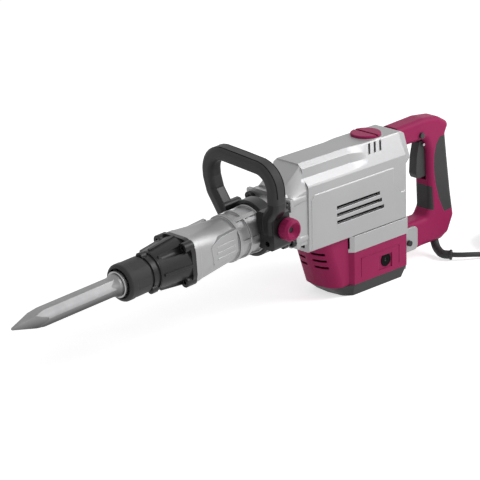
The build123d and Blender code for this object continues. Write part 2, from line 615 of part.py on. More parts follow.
def crank_housing():
    half = BODY_HALF_W
    main = extrude(case_section(CASE_X0, SEAM_Z, half, SHOULDER_Z, DECK_Z, DECK_HALF_W),
                   CASE_X1 - CASE_X0)
    main = fillet(main.edges().filter_by(Axis.X), 5)
    lobe = side_plate([(CASE_X1 - 20, DECK_Z - 40), (CASE_X1 - 2, DECK_Z - 62), (LOBE_X1, LOBE_Z0),
                       (LOBE_X1, DECK_Z - 5), (LOBE_X1 - 6, DECK_Z - 1), (CASE_X1 - 20, DECK_Z - 1)],
                      -half, half)
    lobe &= extrude(case_section(CASE_X1 - 30, SEAM_Z, half - 4, SHOULDER_Z - 4, DECK_Z - 1,
                                 DECK_HALF_W), 60)
    front_face = place(Pos(0, 0, CASE_FRONT) * make_face(Polyline(
        (REAR_FLANGE_LOW, -44), (REAR_FLANGE_LOW, 44), (40, 44), (54, 26), (54, -26), (40, -44),
        close=True)))
    back_face = case_section(CASE_X0 + 1, SEAM_Z + 16, half - 2, SHOULDER_Z - 3, DECK_Z - 3,
                             DECK_HALF_W - 2)
    funnel = loft([front_face, back_face])
    skirt = block(SKIRT_X0, CASE_X1 + 1.5, -half - 1.5, half + 1.5, SKIRT_Z, SEAM_Z + 1)
    skirt = chamfer(skirt.edges().filter_by(Axis.Z).group_by(Axis.X)[0], 8)
    body = main + lobe + funnel + skirt
    for side in (1, -1):
        panel = side_plate([(CASE_X0 + 6, SEAM_Z + 2), (CASE_X0 + 6, PANEL_Z - 8), (CASE_X0 + 14, PANEL_Z),
                            (CASE_X1 - 32, PANEL_Z), (CASE_X1 - 32, 177), (CASE_X1 - 14, 158),
                            (CASE_X1 - 2, 158), (CASE_X1 - 2, SEAM_Z + 2)],
                           *sorted((side * (half - 2), side * (half + PANEL_OUT))))
        rims = panel.faces().sort_by(Axis.Y)[-1 if side > 0 else 0].edges()
        body += chamfer(rims, PANEL_OUT * 0.8)
        for up in (REAR_BOLT_UP, -REAR_BOLT_UP):
            body += place(rod(BOLT_BOSS_R, CASE_FRONT, CASE_FRONT + BOLT_BOSS_LEN, up,
                              side * REAR_BOLT_SIDE))
    cuts = shoulder_cuts()
    body -= cuts
    body -= mirror(cuts, Plane.XZ)
    boss = Pos(CAP_X, 0, DECK_Z - 6) * Cylinder(CAP_BOSS_R, CAP_TOP - 4 - DECK_Z + 6, align=LOW)
    body += chamfer(boss.edges().filter_by(GeomType.CIRCLE).sort_by(Axis.Z)[-1], 1.5)
    # hollow of the case, drawn in the hammer frame
    s0, s1 = CASE_FRONT + 32, MOTOR_AT + 47
    web_low = DISC_LOW - 2 - BEARING_CRANK_TOP[2]
    hollow = Pos(0, 0, s0) * extrude(make_face(Polyline(
        (GEAR_TOP + 3, -43), (GEAR_TOP + 3, 43), (35, 43), (66, 24), (66, -24), (35, -43),
        close=True)), s1 - s0)
    web = Pos(web_low, 0, CYL_END + 3) * Box(
        BEARING_CRANK_TOP[2], 100, s1 - CYL_END, align=(Align.MIN, Align.CENTER, Align.MIN))
    chamber = place(hollow - web)
    gear_room = place(Pos(-90, 0, s0 + 60) * Box(90 + GEAR_TOP + 1, 86, s1 - s0 - 60,
                                                  align=(Align.MIN, Align.CENTER, Align.MIN)))
    front_room = place(Pos(-62, 0, s0) * Box(24, 74, 60.5, align=(Align.MIN, Align.CENTER, Align.MIN)))
    body -= chamber
    body -= gear_room
    body -= front_room & block(-200, 0, -60, 60, SEAM_Z + 6, 200)
    body -= block(SKIRT_X0 + 6, CASE_X1 - 4, -half + 4, half - 4, SKIRT_Z - 1, SEAM_Z + 2)
    body -= place(rod(CYL_R + RUN_FIT, CASE_FRONT - 1, s0 + 1))
    body -= place(post(BEARING_CRANK_TOP[0], web_low - 4, web_low + BEARING_CRANK_TOP[2] + 0.1, CRANK_AT))
    body -= Pos(CAP_X, 0, DECK_Z - 30) * Cylinder(CAP_PLUG_R + GASKET, 60, align=LOW)
    for up, near in corners(REAR_BOLT_UP, REAR_BOLT_SIDE):
        body -= place(rod(BOLT_R, CASE_FRONT - 1, CASE_FRONT + 10, up, near))
    for z, x1 in LOUVRES:
        for y0, y1 in ((-half - 3, LOUVRE_DEEP - half), (half - LOUVRE_DEEP, half + 3)):
            body -= block(LOUVRE_X0, x1, y0, y1, z - LOUVRE_H, z)
    return body


def gear_plate():
    plate = Pos(PLATE_LOW, 0, CRANK_AT - 46) * Box(
        PLATE_TOP - PLATE_LOW, 2 * 43 - 2 * SEAT_GAP, MOTOR_AT + 47 - CRANK_AT + 46 - SEAT_GAP,
        align=(Align.MIN, Align.CENTER, Align.MIN))
    plate -= post(BEARING_CRANK_LOW[0], PLATE_LOW - 1, PLATE_TOP + 1, CRANK_AT)
    plate -= post(BEARING_ARM_TOP[0], PLATE_LOW - 1, PLATE_TOP - 2, MOTOR_AT)
    plate -= post(9.5, PLATE_LOW - 1, PLATE_TOP + 1, MOTOR_AT)
    return plate


def grease_cap():
    cap = Pos(CAP_X, 0, CAP_TOP - 4 + GASKET) * Cylinder(CAP_R, 4.5, align=LOW)
    cap = fillet(cap.edges().filter_by(GeomType.CIRCLE).sort_by(Axis.Z)[-1], 1.5)
    cap += Pos(CAP_X, 0, CAP_TOP - 18) * Cylinder(CAP_PLUG_R, 15, align=LOW)
    return cap - block(CAP_X - 2.5, CAP_X + 2.5, -CAP_R, CAP_R, CAP_TOP - 2, CAP_TOP + 5)


# ---------------------------------------------------------------- motor cover and foot
def nose_plan(x_front, x_back, half, corner, z):
    """Blunt rounded plan outline of the motor cover's front."""
    sketch = make_face(Polyline((x_back, -half), (x_front, -half), (x_front - 6, 0),
                                (x_front, half), (x_back, half), close=True))
    front = [v for v in sketch.vertices() if abs(v.X - x_front) < 1]
    return Pos(0, 0, z) * fillet(front, corner)


def cover_outer(inset=0.0):
    z0, z1 = COVER_Z0 + inset, SEAM_Z - GASKET
    half = NOSE_HALF_W - inset
    corner = NOSE_CORNER - inset
    nose = loft([nose_plan(NOSE_LOW_X + inset, 0, half, corner, z0),
                 nose_plan(NOSE_TOP_X + inset, 0, half, corner, z1)])
    side = BODY_HALF_W - inset
    box = block(SKIRT_X0 + inset, CASE_X1 - inset, -side, side, z0, SKIRT_Z - GASKET)
    box = chamfer(box.edges().filter_by(Axis.Z).group_by(Axis.X)[0], 8)
    return nose + box


def motor_cover():
    body = cover_outer()
    inner = cover_outer(COVER_WALL)
    body -= inner
    body -= block(SKIRT_X0 + 8, CASE_X1 - COVER_WALL, -44, 44, COVER_Z0 + 20, SEAM_Z + 5)
    body -= block(SKIRT_X0 - 0.2, CASE_X1 + 5, -60, 60, SKIRT_Z - GASKET, SEAM_Z + 5)
    # brush cap pockets and bores
    pocket_x0, pocket_x1, pocket_z0, pocket_z1 = CAP_POCKET
    for side in (1, -1):
        floor_y = side * (BODY_HALF_W - 2.2)
        low, high = sorted((floor_y, side * 60))
        body -= block(pocket_x0, pocket_x1, low, high, pocket_z0, pocket_z1)
        low, high = sorted((side * 30, side * 60))
        body -= place(Pos(BRUSH_UP, low, MOTOR_AT) * Rot(-90, 0, 0) * Cylinder(
            BRUSH_CAP_R + GASKET, high - low, align=LOW))
    for y in (-30, 30):
        for z in (30, 70):
            body -= Pos(CASE_X1 - COVER_WALL - 1, y, z) * Rot(0, 90, 0) * Cylinder(
                2.5 + GASKET / 2, COVER_WALL + 3, align=LOW)
    # air slots in the front
    for side in (1, -1):
        for k in range(3):
            z = 84 - 13 * k
            slot = block(-140, -60, side * 8 if side > 0 else -34, 34 if side > 0 else -8, z, z + 4.5)
            body -= slot
    body -= place(post(BEARING_ARM_LOW[0] - 3, ARM_LOW - 12, ARM_LOW - 4, MOTOR_AT))
    seat = place(washer(BEARING_ARM_LOW[0] + 3.5, BEARING_ARM_LOW[0], ARM_LOW - 1, ARM_LOW + 8, MOTOR_AT))
    column = place(washer(BEARING_ARM_LOW[0] + 3.5, BEARING_ARM_LOW[0] - 4, ARM_LOW - 8, ARM_LOW, MOTOR_AT))
    column &= block(-50, 90, -40, 40, COVER_Z0 + 0.5, 60)
    return body + seat + column


def base_foot():
    def plan(front, rear, half, corner, z):
        sketch = make_face(Polyline((rear, -half), (SKIRT_X0 + 8, -half), (front, -NOSE_HALF_W + 8),
                                    (front - 4, 0), (front, NOSE_HALF_W - 8),
                                    (SKIRT_X0 + 8, half), (rear, half), close=True))
        front_v = [v for v in sketch.vertices() if abs(v.X - front) < 1]
        sketch = fillet(front_v, corner)
        return Pos(0, 0, z) * sketch
    top = plan(NOSE_LOW_X, CASE_X1 - 0.5, BODY_HALF_W - 0.5, 14, COVER_Z0 - GASKET)
    low = plan(FOOT_FRONT_X, FOOT_REAR_X, BODY_HALF_W - 4, 14, 0)
    return loft([low, top])


def rear_bracket():
    x0 = CASE_X1 + 0.2
    x1 = x0 + BRACKET_T
    plate = block(x0, x1, -38, 38, 8, SKIRT_Z - 0.3)
    ears = block(x1 - 1, BRACKET_EAR_X, -GRIP_HALF_W - 4.5, GRIP_HALF_W + 4.5, EAR_LOW, EAR_TOP)
    ears = fillet(ears.edges().filter_by(Axis.Y).group_by(Axis.X)[-1], 9)
    ears -= block(x1, BRACKET_EAR_X + 1, -GRIP_HALF_W - GASKET, GRIP_HALF_W + GASKET, 0, 100)
    body = plate + ears
    for y in (-30, 30):
        for z in (30, 70):
            hole = Pos(x0 - 1, y, z) * Rot(0, 90, 0) * Cylinder(2.6, BRACKET_T + 2, align=LOW)
            body -= hole
    body -= cross(3.1, -60, 60, 126, 46)
    return body


def rear_bracket_screws():
    screws = []
    for y in (-30, 30):
        for z in (30, 70):
            x = CASE_X1 + 0.2 + BRACKET_T
            head = Pos(x, y, z) * Rot(0, 90, 0) * Cylinder(4.6, 3.2, align=LOW)
            shank = Pos(x - BRACKET_T - COVER_WALL, y, z) * Rot(0, 90, 0) * Cylinder(
                2.5, BRACKET_T + COVER_WALL, align=LOW)
            screws.append(head + shank)
    return Compound(screws)


# ---------------------------------------------------------------- rear D-handle
OUTER = [(107.4, 258), (176, 261), (214, 256), (241, 240), (231, 222), (236, 180),
         (245, 112), (253, 66), (238, 36), (219, 27), (170, 27), (104.5, 22),
         (104.5, 100), (107.4, 200)]
OUTER_R = [0, 30, 24, 9, 8, 60, 30, 14, 10, 8, 30, 0, 0, 0]
OPENING = [(90, 222), (178, 222), (186, 200), (190, 92), (180, 78), (90, 78)]
OPENING_R = [0, 6, 8, 10, 8, 0]


def handle_blank():
    outer = side_plate(OUTER, -GRIP_HALF_W, GRIP_HALF_W, OUTER_R)
    opening = side_plate(OPENING, -60, 60, OPENING_R)
    blank = outer - opening
    rim = blank.edges().filter_by(lambda e: abs(abs(e.center().Y) - GRIP_HALF_W) < 1e-3
                                  and e.center().X > 108)
    return fillet(rim, GRIP_EDGE)


PAD_CORE_W, PAD_CORE_X = 15.0, 222.0     # what the rear pad wraps: half width and rear face
REAR_PAD = [(213, 220), (203, 208), (198, 190), (197, 166), (201, 138), (211, 104), (224, 79),
            (262, 82), (262, 222)]
FRONT_PAD = [(180, 138), (194, 131), (197, 88), (180, 92)]


def rear_pad_zone():
    core = block(190, PAD_CORE_X, -PAD_CORE_W, PAD_CORE_W, 60, 230)
    return side_plate(REAR_PAD, -40, 40) - core


def front_pad_zone():
    return side_plate(FRONT_PAD, -40, 40)


def handle_pieces():
    blank = handle_blank()
    rear_pad = blank & rear_pad_zone()
    front_pad = blank & front_pad_zone()
    shell = blank - rear_pad_zone() - front_pad_zone()
    pocket = block(170, 204, -TRIG_HALF_W - SEAT_GAP, TRIG_HALF_W + SEAT_GAP, 144, 226)
    shell -= pocket
    switch_room = block(204, 214, -13, 13, 150, 212)
    wire_room = block(206, 213, -6, 6, 50, 151)
    shell -= switch_room
    shell -= wire_room
    lower_room = block(113, 210, -12, 12, 45, 62)
    shell -= lower_room
    shell -= cross(LOCK_R + RUN_FIT, -40, -7, LOCK_X, LOCK_Z)
    shell -= cross(3.05, -60, 60, 126, 46)
    shell -= boot_hole()
    for x, z in HANDLE_SCREWS:
        shell -= cross(2.05, -GRIP_HALF_W + 5, 8, x, z)
        shell -= cross(4.2, 14, 60, x, z) + cross(2.05, 7, 15, x, z)
    near = shell & block(90, 270, -60, 0, 0, 300)
    far = shell & block(90, 270, 0, 60, 0, 300)
    return near, far, rear_pad, front_pad


HANDLE_SCREWS = ((128, 242), (206, 242), (224, 60), (150, 60))


def handle_screws():
    return Compound([cross(4.0, 14, 16.5, x, z) + cross(2.0, -GRIP_HALF_W + 6, 14.5, x, z)
                     for x, z in HANDLE_SCREWS])


def bracket_bolt():
    reach = GRIP_HALF_W + 4.5
    return cross(3.0, -reach, reach, 126, 46) + cross(5.2, -reach - 4, -reach, 126, 46) \
        + cross(5.2, reach, reach + 4, 126, 46)


def trigger():
    face = side_plate([(TRIG_X - 6, TRIG_Z + 4), (TRIG_X + 10, TRIG_Z + 4), (TRIG_X + 10, 152),
                       (TRIG_X - 10, 150), (TRIG_X - 15, 160), (TRIG_X - 13, 190)],
                      -TRIG_HALF_W, TRIG_HALF_W, [4, 0, 3, 4, 8, 40])
    return face - cross(2.55, -60, 60, TRIG_X, TRIG_Z - 2)


def trigger_pin():
    return cross(2.5, -14, 14, TRIG_X, TRIG_Z - 2)


def lock_button():
    button = cross(LOCK_R, -GRIP_HALF_W - 4.5, -LOCK_TRAVEL - 8, LOCK_X, LOCK_Z)
    return fillet(button.edges().filter_by(GeomType.CIRCLE).sort_by(Axis.Y)[0], 1.5)


def switch_body():
    return block(204.5, 213.5, -12.7, 12.7, 152, 210)


# ---------------------------------------------------------------- side handle
RING_R = COLLAR_BAND_R + SEAT_GAP + STRAP_T + SEAT_GAP
RING_OUT = RING_R + RING_WALL


def loop_sweep(section_s, section_r, path):
    start = path @ 0
    tangent = path % 0
    profile = Plane(origin=start, x_dir=(0, 0, 1), z_dir=tangent) * RectangleRounded(
        section_s, section_r, min(section_s, section_r) * 0.36)
    return sweep(profile, path)


def loop_path():
    """Centre line of the loop in the plane z = LOOP_AT, far foot to near foot."""
    half = LOOP_HALF_W
    points = [(22, -47, LOOP_AT), (56, -half + 6, LOOP_AT), (80, -half, LOOP_AT),
              (LOOP_TOP_FAR, -half, LOOP_AT), (LOOP_TOP_NEAR, half, LOOP_AT),
              (54, half, LOOP_AT), (35, LUG_OUT - 14, LOOP_AT), (8, LUG_OUT - 14, LOOP_AT)]
    return FilletPolyline(*points, radius=[14, 20, LOOP_CORNER, LOOP_CORNER, 14, 14])


def above_seam(up):
    return Pos(up, 0, LOOP_AT) * Box(200, 400, 100, align=(Align.MIN, Align.CENTER, Align.CENTER))


def side_handle_core_and_grip():
    loop = loop_sweep(LOOP_SECTION_S, LOOP_SECTION_R, loop_path())
    grip = loop & above_seam(GRIP_SEAM_UP + GASKET)
    legs = loop - above_seam(GRIP_SEAM_UP)
    core_s, core_r = LOOP_SECTION_S * 0.45, LOOP_SECTION_R * 0.45
    core = loop_sweep(core_s, core_r, loop_path()) & above_seam(GRIP_SEAM_UP - 1)
    grip -= loop_sweep(core_s + 2 * GASKET, core_r + 2 * GASKET, loop_path())
    ring_part = tube(RING_OUT, RING_R, RING_AT, RING_AT + RING_LEN)
    front = LOOP_AT - LOOP_SECTION_S / 2 + 4
    deep = RING_AT + RING_LEN - front
    boss = Pos(BOSS_LOW, LUG_OUT, front) * Box(
        BOSS_TOP - BOSS_LOW, LUG_OUT - RING_R + 8, deep, align=(Align.MIN, Align.MAX, Align.MIN))
    boss = fillet(boss.edges().filter_by(Axis.Z), 8)
    far_foot = Pos(22, -RING_R + 7, front) * Box(
        34, 16, deep, align=(Align.CENTER, Align.MAX, Align.MIN))
    far_foot = fillet(far_foot.edges().filter_by(Axis.Z), 6)
    frame = legs + core + ring_part + boss + far_foot
    frame -= rod(COLLAR_BAND_R + 1.0, LOOP_AT - 40, RING_AT + 0.01)
    frame -= rod(RING_R, RING_AT, RING_AT + RING_LEN + 20)
    # slot of the strap's eye and bore of the clamp bolt
    frame -= Pos(KNOB_UP, RING_R - 8, RING_AT + 2) * Box(
        17, 26, 18, align=(Align.CENTER, Align.MIN, Align.MIN))
    frame -= stud_bore(STUD_R + SEAT_GAP)
    frame -= strap_eye_zone(1.0)
    for up, near in ((22, LUG_OUT - 14), (-9, LUG_OUT - 16)):
        frame -= Pos(up, near, front - 1) * extrude(
            RegularPolygon(4.6, 6, major_radius=False), 10)
    return frame, grip


STUD_AT = RING_AT + RING_LEN / 2


def stud_bore(r):
    return Pos(KNOB_UP, RING_R - 6, STUD_AT) * Rot(-90, 0, 0) * Cylinder(r, 80, align=LOW)


def strap_eye_zone(grow):
    return Pos(KNOB_UP, COLLAR_BAND_R + 6, STUD_AT) * Box(
        15 + 2 * grow, 16 + 2 * grow, 16 + grow, align=(Align.CENTER, Align.MIN, Align.CENTER))


def handle_clamp_strap():
    inner = COLLAR_BAND_R + SEAT_GAP
    strap = tube(inner + STRAP_T, inner, RING_AT + 3, RING_AT + RING_LEN - 3)
    eye = Pos(KNOB_UP, COLLAR_BAND_R - 4, STUD_AT) * Box(
        14, 18, 14, align=(Align.CENTER, Align.MIN, Align.CENTER))
    eye -= rod(inner, RING_AT - 10, RING_AT + 60)
    strap += eye
    return strap - stud_bore(STUD_R + GASKET / 2)


def clamp_bolt():
    return Pos(KNOB_UP, RING_R - 2, STUD_AT) * Rot(-90, 0, 0) * Cylinder(
        STUD_R, LUG_OUT + KNOB_T - 6 - RING_R + 2, align=LOW)


def clamp_knob():
    knob = Pos(KNOB_UP, LUG_OUT + SEAT_GAP, STUD_AT) * Rot(-90, 0, 0) * Cylinder(KNOB_R, KNOB_T, align=LOW)
    rims = knob.edges().filter_by(GeomType.CIRCLE).sort_by(Axis.Y)
    knob = fillet([rims[0], rims[-1]], 3.5)
    dish = Pos(KNOB_UP, LUG_OUT + SEAT_GAP + KNOB_T, STUD_AT) * Rot(90, 0, 0) * Cone(
        KNOB_DISH_R, STUD_R + 1, 5, align=LOW)
    knob -= dish
    bore = Pos(KNOB_UP, LUG_OUT - 1, STUD_AT) * Rot(-90, 0, 0) * Cylinder(
        STUD_R + RUN_FIT, KNOB_T + 4, align=LOW)
    return knob - bore


# ---------------------------------------------------------------- power cord
BOOT_POINTS = [(213.0, -3.0, 40.0), (208.0, -13.0, 15.0), (197.0, -38.0, 9.3), (206.5, -53.5, 9.6)]
LEAD_POINTS = [BOOT_POINTS[-1], (214.1, -65.9, 9.84), (236.4, -81.3, 9.0), (265.6, -98.3, CORD_LIE),
               (294.3, -118.3, CORD_LIE), (318.3, -136.3, CORD_LIE)]
COIL_BAND = COIL_WIDE * 2 * CORD_R
COIL_HEIGHT = COIL_LAYERS * 2 * CORD_R
OUTER_TURN_R = COIL_MEAN_R + COIL_BAND / 2 - CORD_R
RUN_IN = (Vector(*LEAD_POINTS[-1]) - Vector(*LEAD_POINTS[-2])).normalized()
COIL_X = LEAD_POINTS[-1][0] - RUN_IN.Y * OUTER_TURN_R
COIL_Y = LEAD_POINTS[-1][1] + RUN_IN.X * OUTER_TURN_R
TIE_W, TIE_T = 10.0, 1.0
PLUG_R, PLUG_LEN, PLUG_RELIEF = 17.0, 40.0, 22.0
PLUG_PIN_R, PLUG_PIN_LEN, PLUG_PIN_OFF = 2.4, 19.0, 9.5
PLUG_LIE = PLUG_R + 0.1
TAIL_POINTS = [(318.3, -136.3, CORD_LIE + 27.0), (340.3, -152.8, CORD_LIE + 25.6),
               (362.5, -171.0, PLUG_LIE), (379.0, -184.4, PLUG_LIE)]


def run_radii(points):
    """Largest arc for each corner: 0.45 of its shorter run over the tangent of half the turn."""
    radii = []
    for a, b, c in zip(points, points[1:], points[2:]):
        first, second = Vector(*b) - Vector(*a), Vector(*c) - Vector(*b)
        turn = radians(first.get_angle(second))
        radii.append(0.45 * min(first.length, second.length) / tan(turn / 2))
    return radii


def swept_round(points, r):
    """Round bar along straight runs joined by arcs; returns it with the frame at its far end."""
    path = FilletPolyline(*points, radius=run_radii(points))
    bar = sweep(Plane(origin=path @ 0, z_dir=path % 0) * Circle(r), path)
    print("route radii", [round(radius, 1) for radius in run_radii(points)],
          "length", round(path.length, 1),
          "volume ratio", round(bar.volume / (pi * r ** 2 * path.length), 4))
    return bar, Plane(origin=path @ 1, z_dir=path % 1)


def boot_hole():
    return swept_round(BOOT_POINTS, BOOT_R + GASKET)[0]


def cord_boot():
    bar, end = swept_round(BOOT_POINTS, BOOT_R)
    return bar + end.location * Pos(0, 0, -3.5) * Cylinder(BOOT_RIM_R, 3.5, align=LOW)


def coil_ring(inset=0.0):
    """Outer shape of the coil, or its hollow below the tie when inset."""
    outer = COIL_MEAN_R + COIL_BAND / 2 - inset
    inner = COIL_MEAN_R - COIL_BAND / 2 + inset
    ring = Pos(COIL_X, COIL_Y, inset) * Cylinder(outer, COIL_HEIGHT - 2 * inset, align=LOW)
    ring -= Pos(COIL_X, COIL_Y, -1) * Cylinder(inner, COIL_HEIGHT + 2, align=LOW)
    return fillet(ring.edges().filter_by(GeomType.CIRCLE), CORD_R - 0.8 - inset)


def cord_tie():
    band = block(COIL_X - TIE_W / 2, COIL_X + TIE_W / 2, COIL_Y, COIL_Y + 90, -1, 60)
    return (coil_ring() & band) - coil_ring(TIE_T)


def power_cord():
    """The uncoiled stretches, which run into the coil: from the boot and to the plug."""
    return Compound([swept_round(points, CORD_R)[0] for points in (LEAD_POINTS, TAIL_POINTS)])


def cord_plug():
    heading = Vector(*TAIL_POINTS[-1]) - Vector(*TAIL_POINTS[-2])
    body = Cylinder(PLUG_R, PLUG_LEN, align=LOW)
    body = fillet(body.edges().filter_by(GeomType.CIRCLE).sort_by(Axis.Z)[0], 6)
    plug = Cone(CORD_R + 1.2, CORD_R + 3.5, PLUG_RELIEF, align=LOW) + Pos(0, 0, PLUG_RELIEF) * body
    for side in (1, -1):
        plug += Pos(0, side * PLUG_PIN_OFF, PLUG_RELIEF + PLUG_LEN) * Cylinder(
            PLUG_PIN_R, PLUG_PIN_LEN, align=LOW)
    return Plane(origin=TAIL_POINTS[-1], x_dir=(0, 0, 1), z_dir=heading).location * plug


if __name__ == "__main__":
    write("chisel", place(chisel()))
    write("tool_holder", place(tool_holder()))
    write("retainer_pin", place(retainer_pin_blank()))
    write("release_sleeve", place(release_sleeve()))
    write("retainer_housing", place(retainer_housing()))
    write("retainer_bolts", place(retainer_bolts()))
    write("bolt_guide", place(bolt_guide()))
    write("impact_bolt", place(impact_bolt()))
    write("impact_damper", place(impact_damper()))
    write("cylinder_tube", place(cylinder_tube()))
    write("ram", place(ram()))
    write("ram_seal", place(seal_ring(RAM_AT + RAM_LEN * 0.5)))
    write("piston", place(piston()))
    write("piston_seal", place(seal_ring(PISTON_FRONT + 8)))
    write("wrist_pin", place(wrist_pin()))
    write("connecting_rod", place(connecting_rod()))
    write("crank_pin", place(crank_pin()))
    write("crankshaft", place(crankshaft()))
    write("crank_gear", place(gear(GEAR_TEETH, GEAR_LOW, GEAR_TOP, CRANK_AT, 0.0, CRANK_SHAFT_R)))
    write("crank_bearing_top", place(bearing(BEARING_CRANK_TOP, DISC_LOW - 14, CRANK_AT)))
    write("crank_bearing_low", place(bearing(BEARING_CRANK_LOW, PLATE_LOW, CRANK_AT)))
    write("armature_bearing_top", place(bearing(BEARING_ARM_TOP, PLATE_LOW, MOTOR_AT)))
    write("armature_bearing_low", place(bearing(BEARING_ARM_LOW, ARM_LOW, MOTOR_AT)))
    write("armature", place(armature()))
    write("armature_fan", place(armature_fan()))
    write("commutator", place(commutator()))
    write("stator_core", place(stator_core()))
    write("stator_windings", place(stator_windings()))
    holders, brushes, caps = brush_parts()
    write("brush_holders", place(holders))
    write("carbon_brushes", place(brushes))
    write("brush_caps", place(caps))
    write("barrel", place(barrel()))
    write("barrel_bolts", place(barrel_bolts()))
    write("crank_housing", crank_housing())
    write("gear_plate", place(gear_plate()))
    write("grease_cap", grease_cap())
    write("motor_cover", motor_cover())
    write("base_foot", base_foot())
    write("rear_bracket", rear_bracket())
    write("rear_bracket_screws", rear_bracket_screws())
    near, far, rear_pad, front_pad = handle_pieces()
    write("handle_shell_near", near)
    write("handle_shell_far", far)
    write("rear_grip_pad", rear_pad)
    write("front_grip_pad", front_pad)
    write("handle_screws", handle_screws())
    write("bracket_bolt", bracket_bolt())
    write("trigger", trigger())
    write("trigger_pin", trigger_pin())
    write("lock_button", lock_button())
    write("switch_body", switch_body())
    frame, grip = side_handle_core_and_grip()
    write("side_handle_frame", place(frame))
    write("side_handle_grip", place(grip))
    write("handle_clamp_strap", place(handle_clamp_strap()))
    write("clamp_bolt", place(clamp_bolt()))
    write("clamp_knob", place(clamp_knob()))
    write("cord_boot", cord_boot())
    tie = cord_tie()
    write("cord_coil", coil_ring() - tie)
    write("cord_tie", tie)
    write("power_cord", power_cord())
    write("cord_plug", cord_plug())
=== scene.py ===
"""Visual model of an electric demolition hammer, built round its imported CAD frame."""
import json
from math import cos, pi, radians, sin, tan

import bmesh
import bpy
from bpy.props import FloatProperty, FloatVectorProperty, IntProperty, PointerProperty
from mathutils import Matrix, Vector


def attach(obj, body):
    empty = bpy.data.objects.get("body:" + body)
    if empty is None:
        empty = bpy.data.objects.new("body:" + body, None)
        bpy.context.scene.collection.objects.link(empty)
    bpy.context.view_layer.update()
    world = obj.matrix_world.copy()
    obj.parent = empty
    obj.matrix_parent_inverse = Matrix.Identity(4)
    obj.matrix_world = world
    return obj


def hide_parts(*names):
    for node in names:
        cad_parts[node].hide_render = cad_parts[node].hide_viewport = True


bl_info = {
    "name": "Demolition Hammer",
    "version": (1, 0, 0),
    "blender": (4, 5, 0),
    "location": "View3D > Sidebar > Hammer",
    "description": "Builds the visible pieces and finishes of an electric demolition hammer",
    "category": "Object",
}

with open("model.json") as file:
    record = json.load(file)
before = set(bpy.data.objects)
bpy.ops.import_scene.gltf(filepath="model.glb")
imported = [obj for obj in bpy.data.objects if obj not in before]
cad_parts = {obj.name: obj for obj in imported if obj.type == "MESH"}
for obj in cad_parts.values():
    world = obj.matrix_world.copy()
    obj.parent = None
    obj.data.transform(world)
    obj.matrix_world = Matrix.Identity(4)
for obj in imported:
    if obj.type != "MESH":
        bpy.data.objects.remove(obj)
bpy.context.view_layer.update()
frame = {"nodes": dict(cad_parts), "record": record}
NODES = frame["nodes"]
MM = 0.001

# ---------------------------------------------------------------- frames
TILT = radians(3.2)
NOSE = Vector((-0.533, 0.0, 0.148))
UP_AXIS = Vector((-sin(TILT), 0.0, cos(TILT)))
NEAR_AXIS = Vector((0.0, -1.0, 0.0))
BACK_AXIS = Vector((cos(TILT), 0.0, sin(TILT)))
HAMMER = Matrix.Translation(NOSE) @ Matrix((UP_AXIS, NEAR_AXIS, BACK_AXIS)).transposed().to_4x4()


def hammer_point(up, near, back):
    """Row-frame point, in metres, of a hammer-frame point in millimetres."""
    return HAMMER @ (Vector((up, near, back)) * MM)


# ---------------------------------------------------------------- shader maths
class Wire:
    """A shader socket that can stand in an arithmetic expression."""

    def __init__(self, finish, socket):
        self.finish, self.socket = finish, socket

    def _math(self, operation, first, second=0.0):
        return self.finish.node("ShaderNodeMath", {"operation": operation}, {0: first, 1: second})

    def __add__(self, other):
        return self._math("ADD", self, other)

    def __radd__(self, other):
        return self._math("ADD", other, self)

    def __sub__(self, other):
        return self._math("SUBTRACT", self, other)

    def __rsub__(self, other):
        return self._math("SUBTRACT", other, self)

    def __mul__(self, other):
        return self._math("MULTIPLY", self, other)

    def __rmul__(self, other):
        return self._math("MULTIPLY", other, self)

    def sine(self):
        return self._math("SINE", self)

    def clamped(self):
        return self.finish.node("ShaderNodeClamp", {}, {"Value": self})


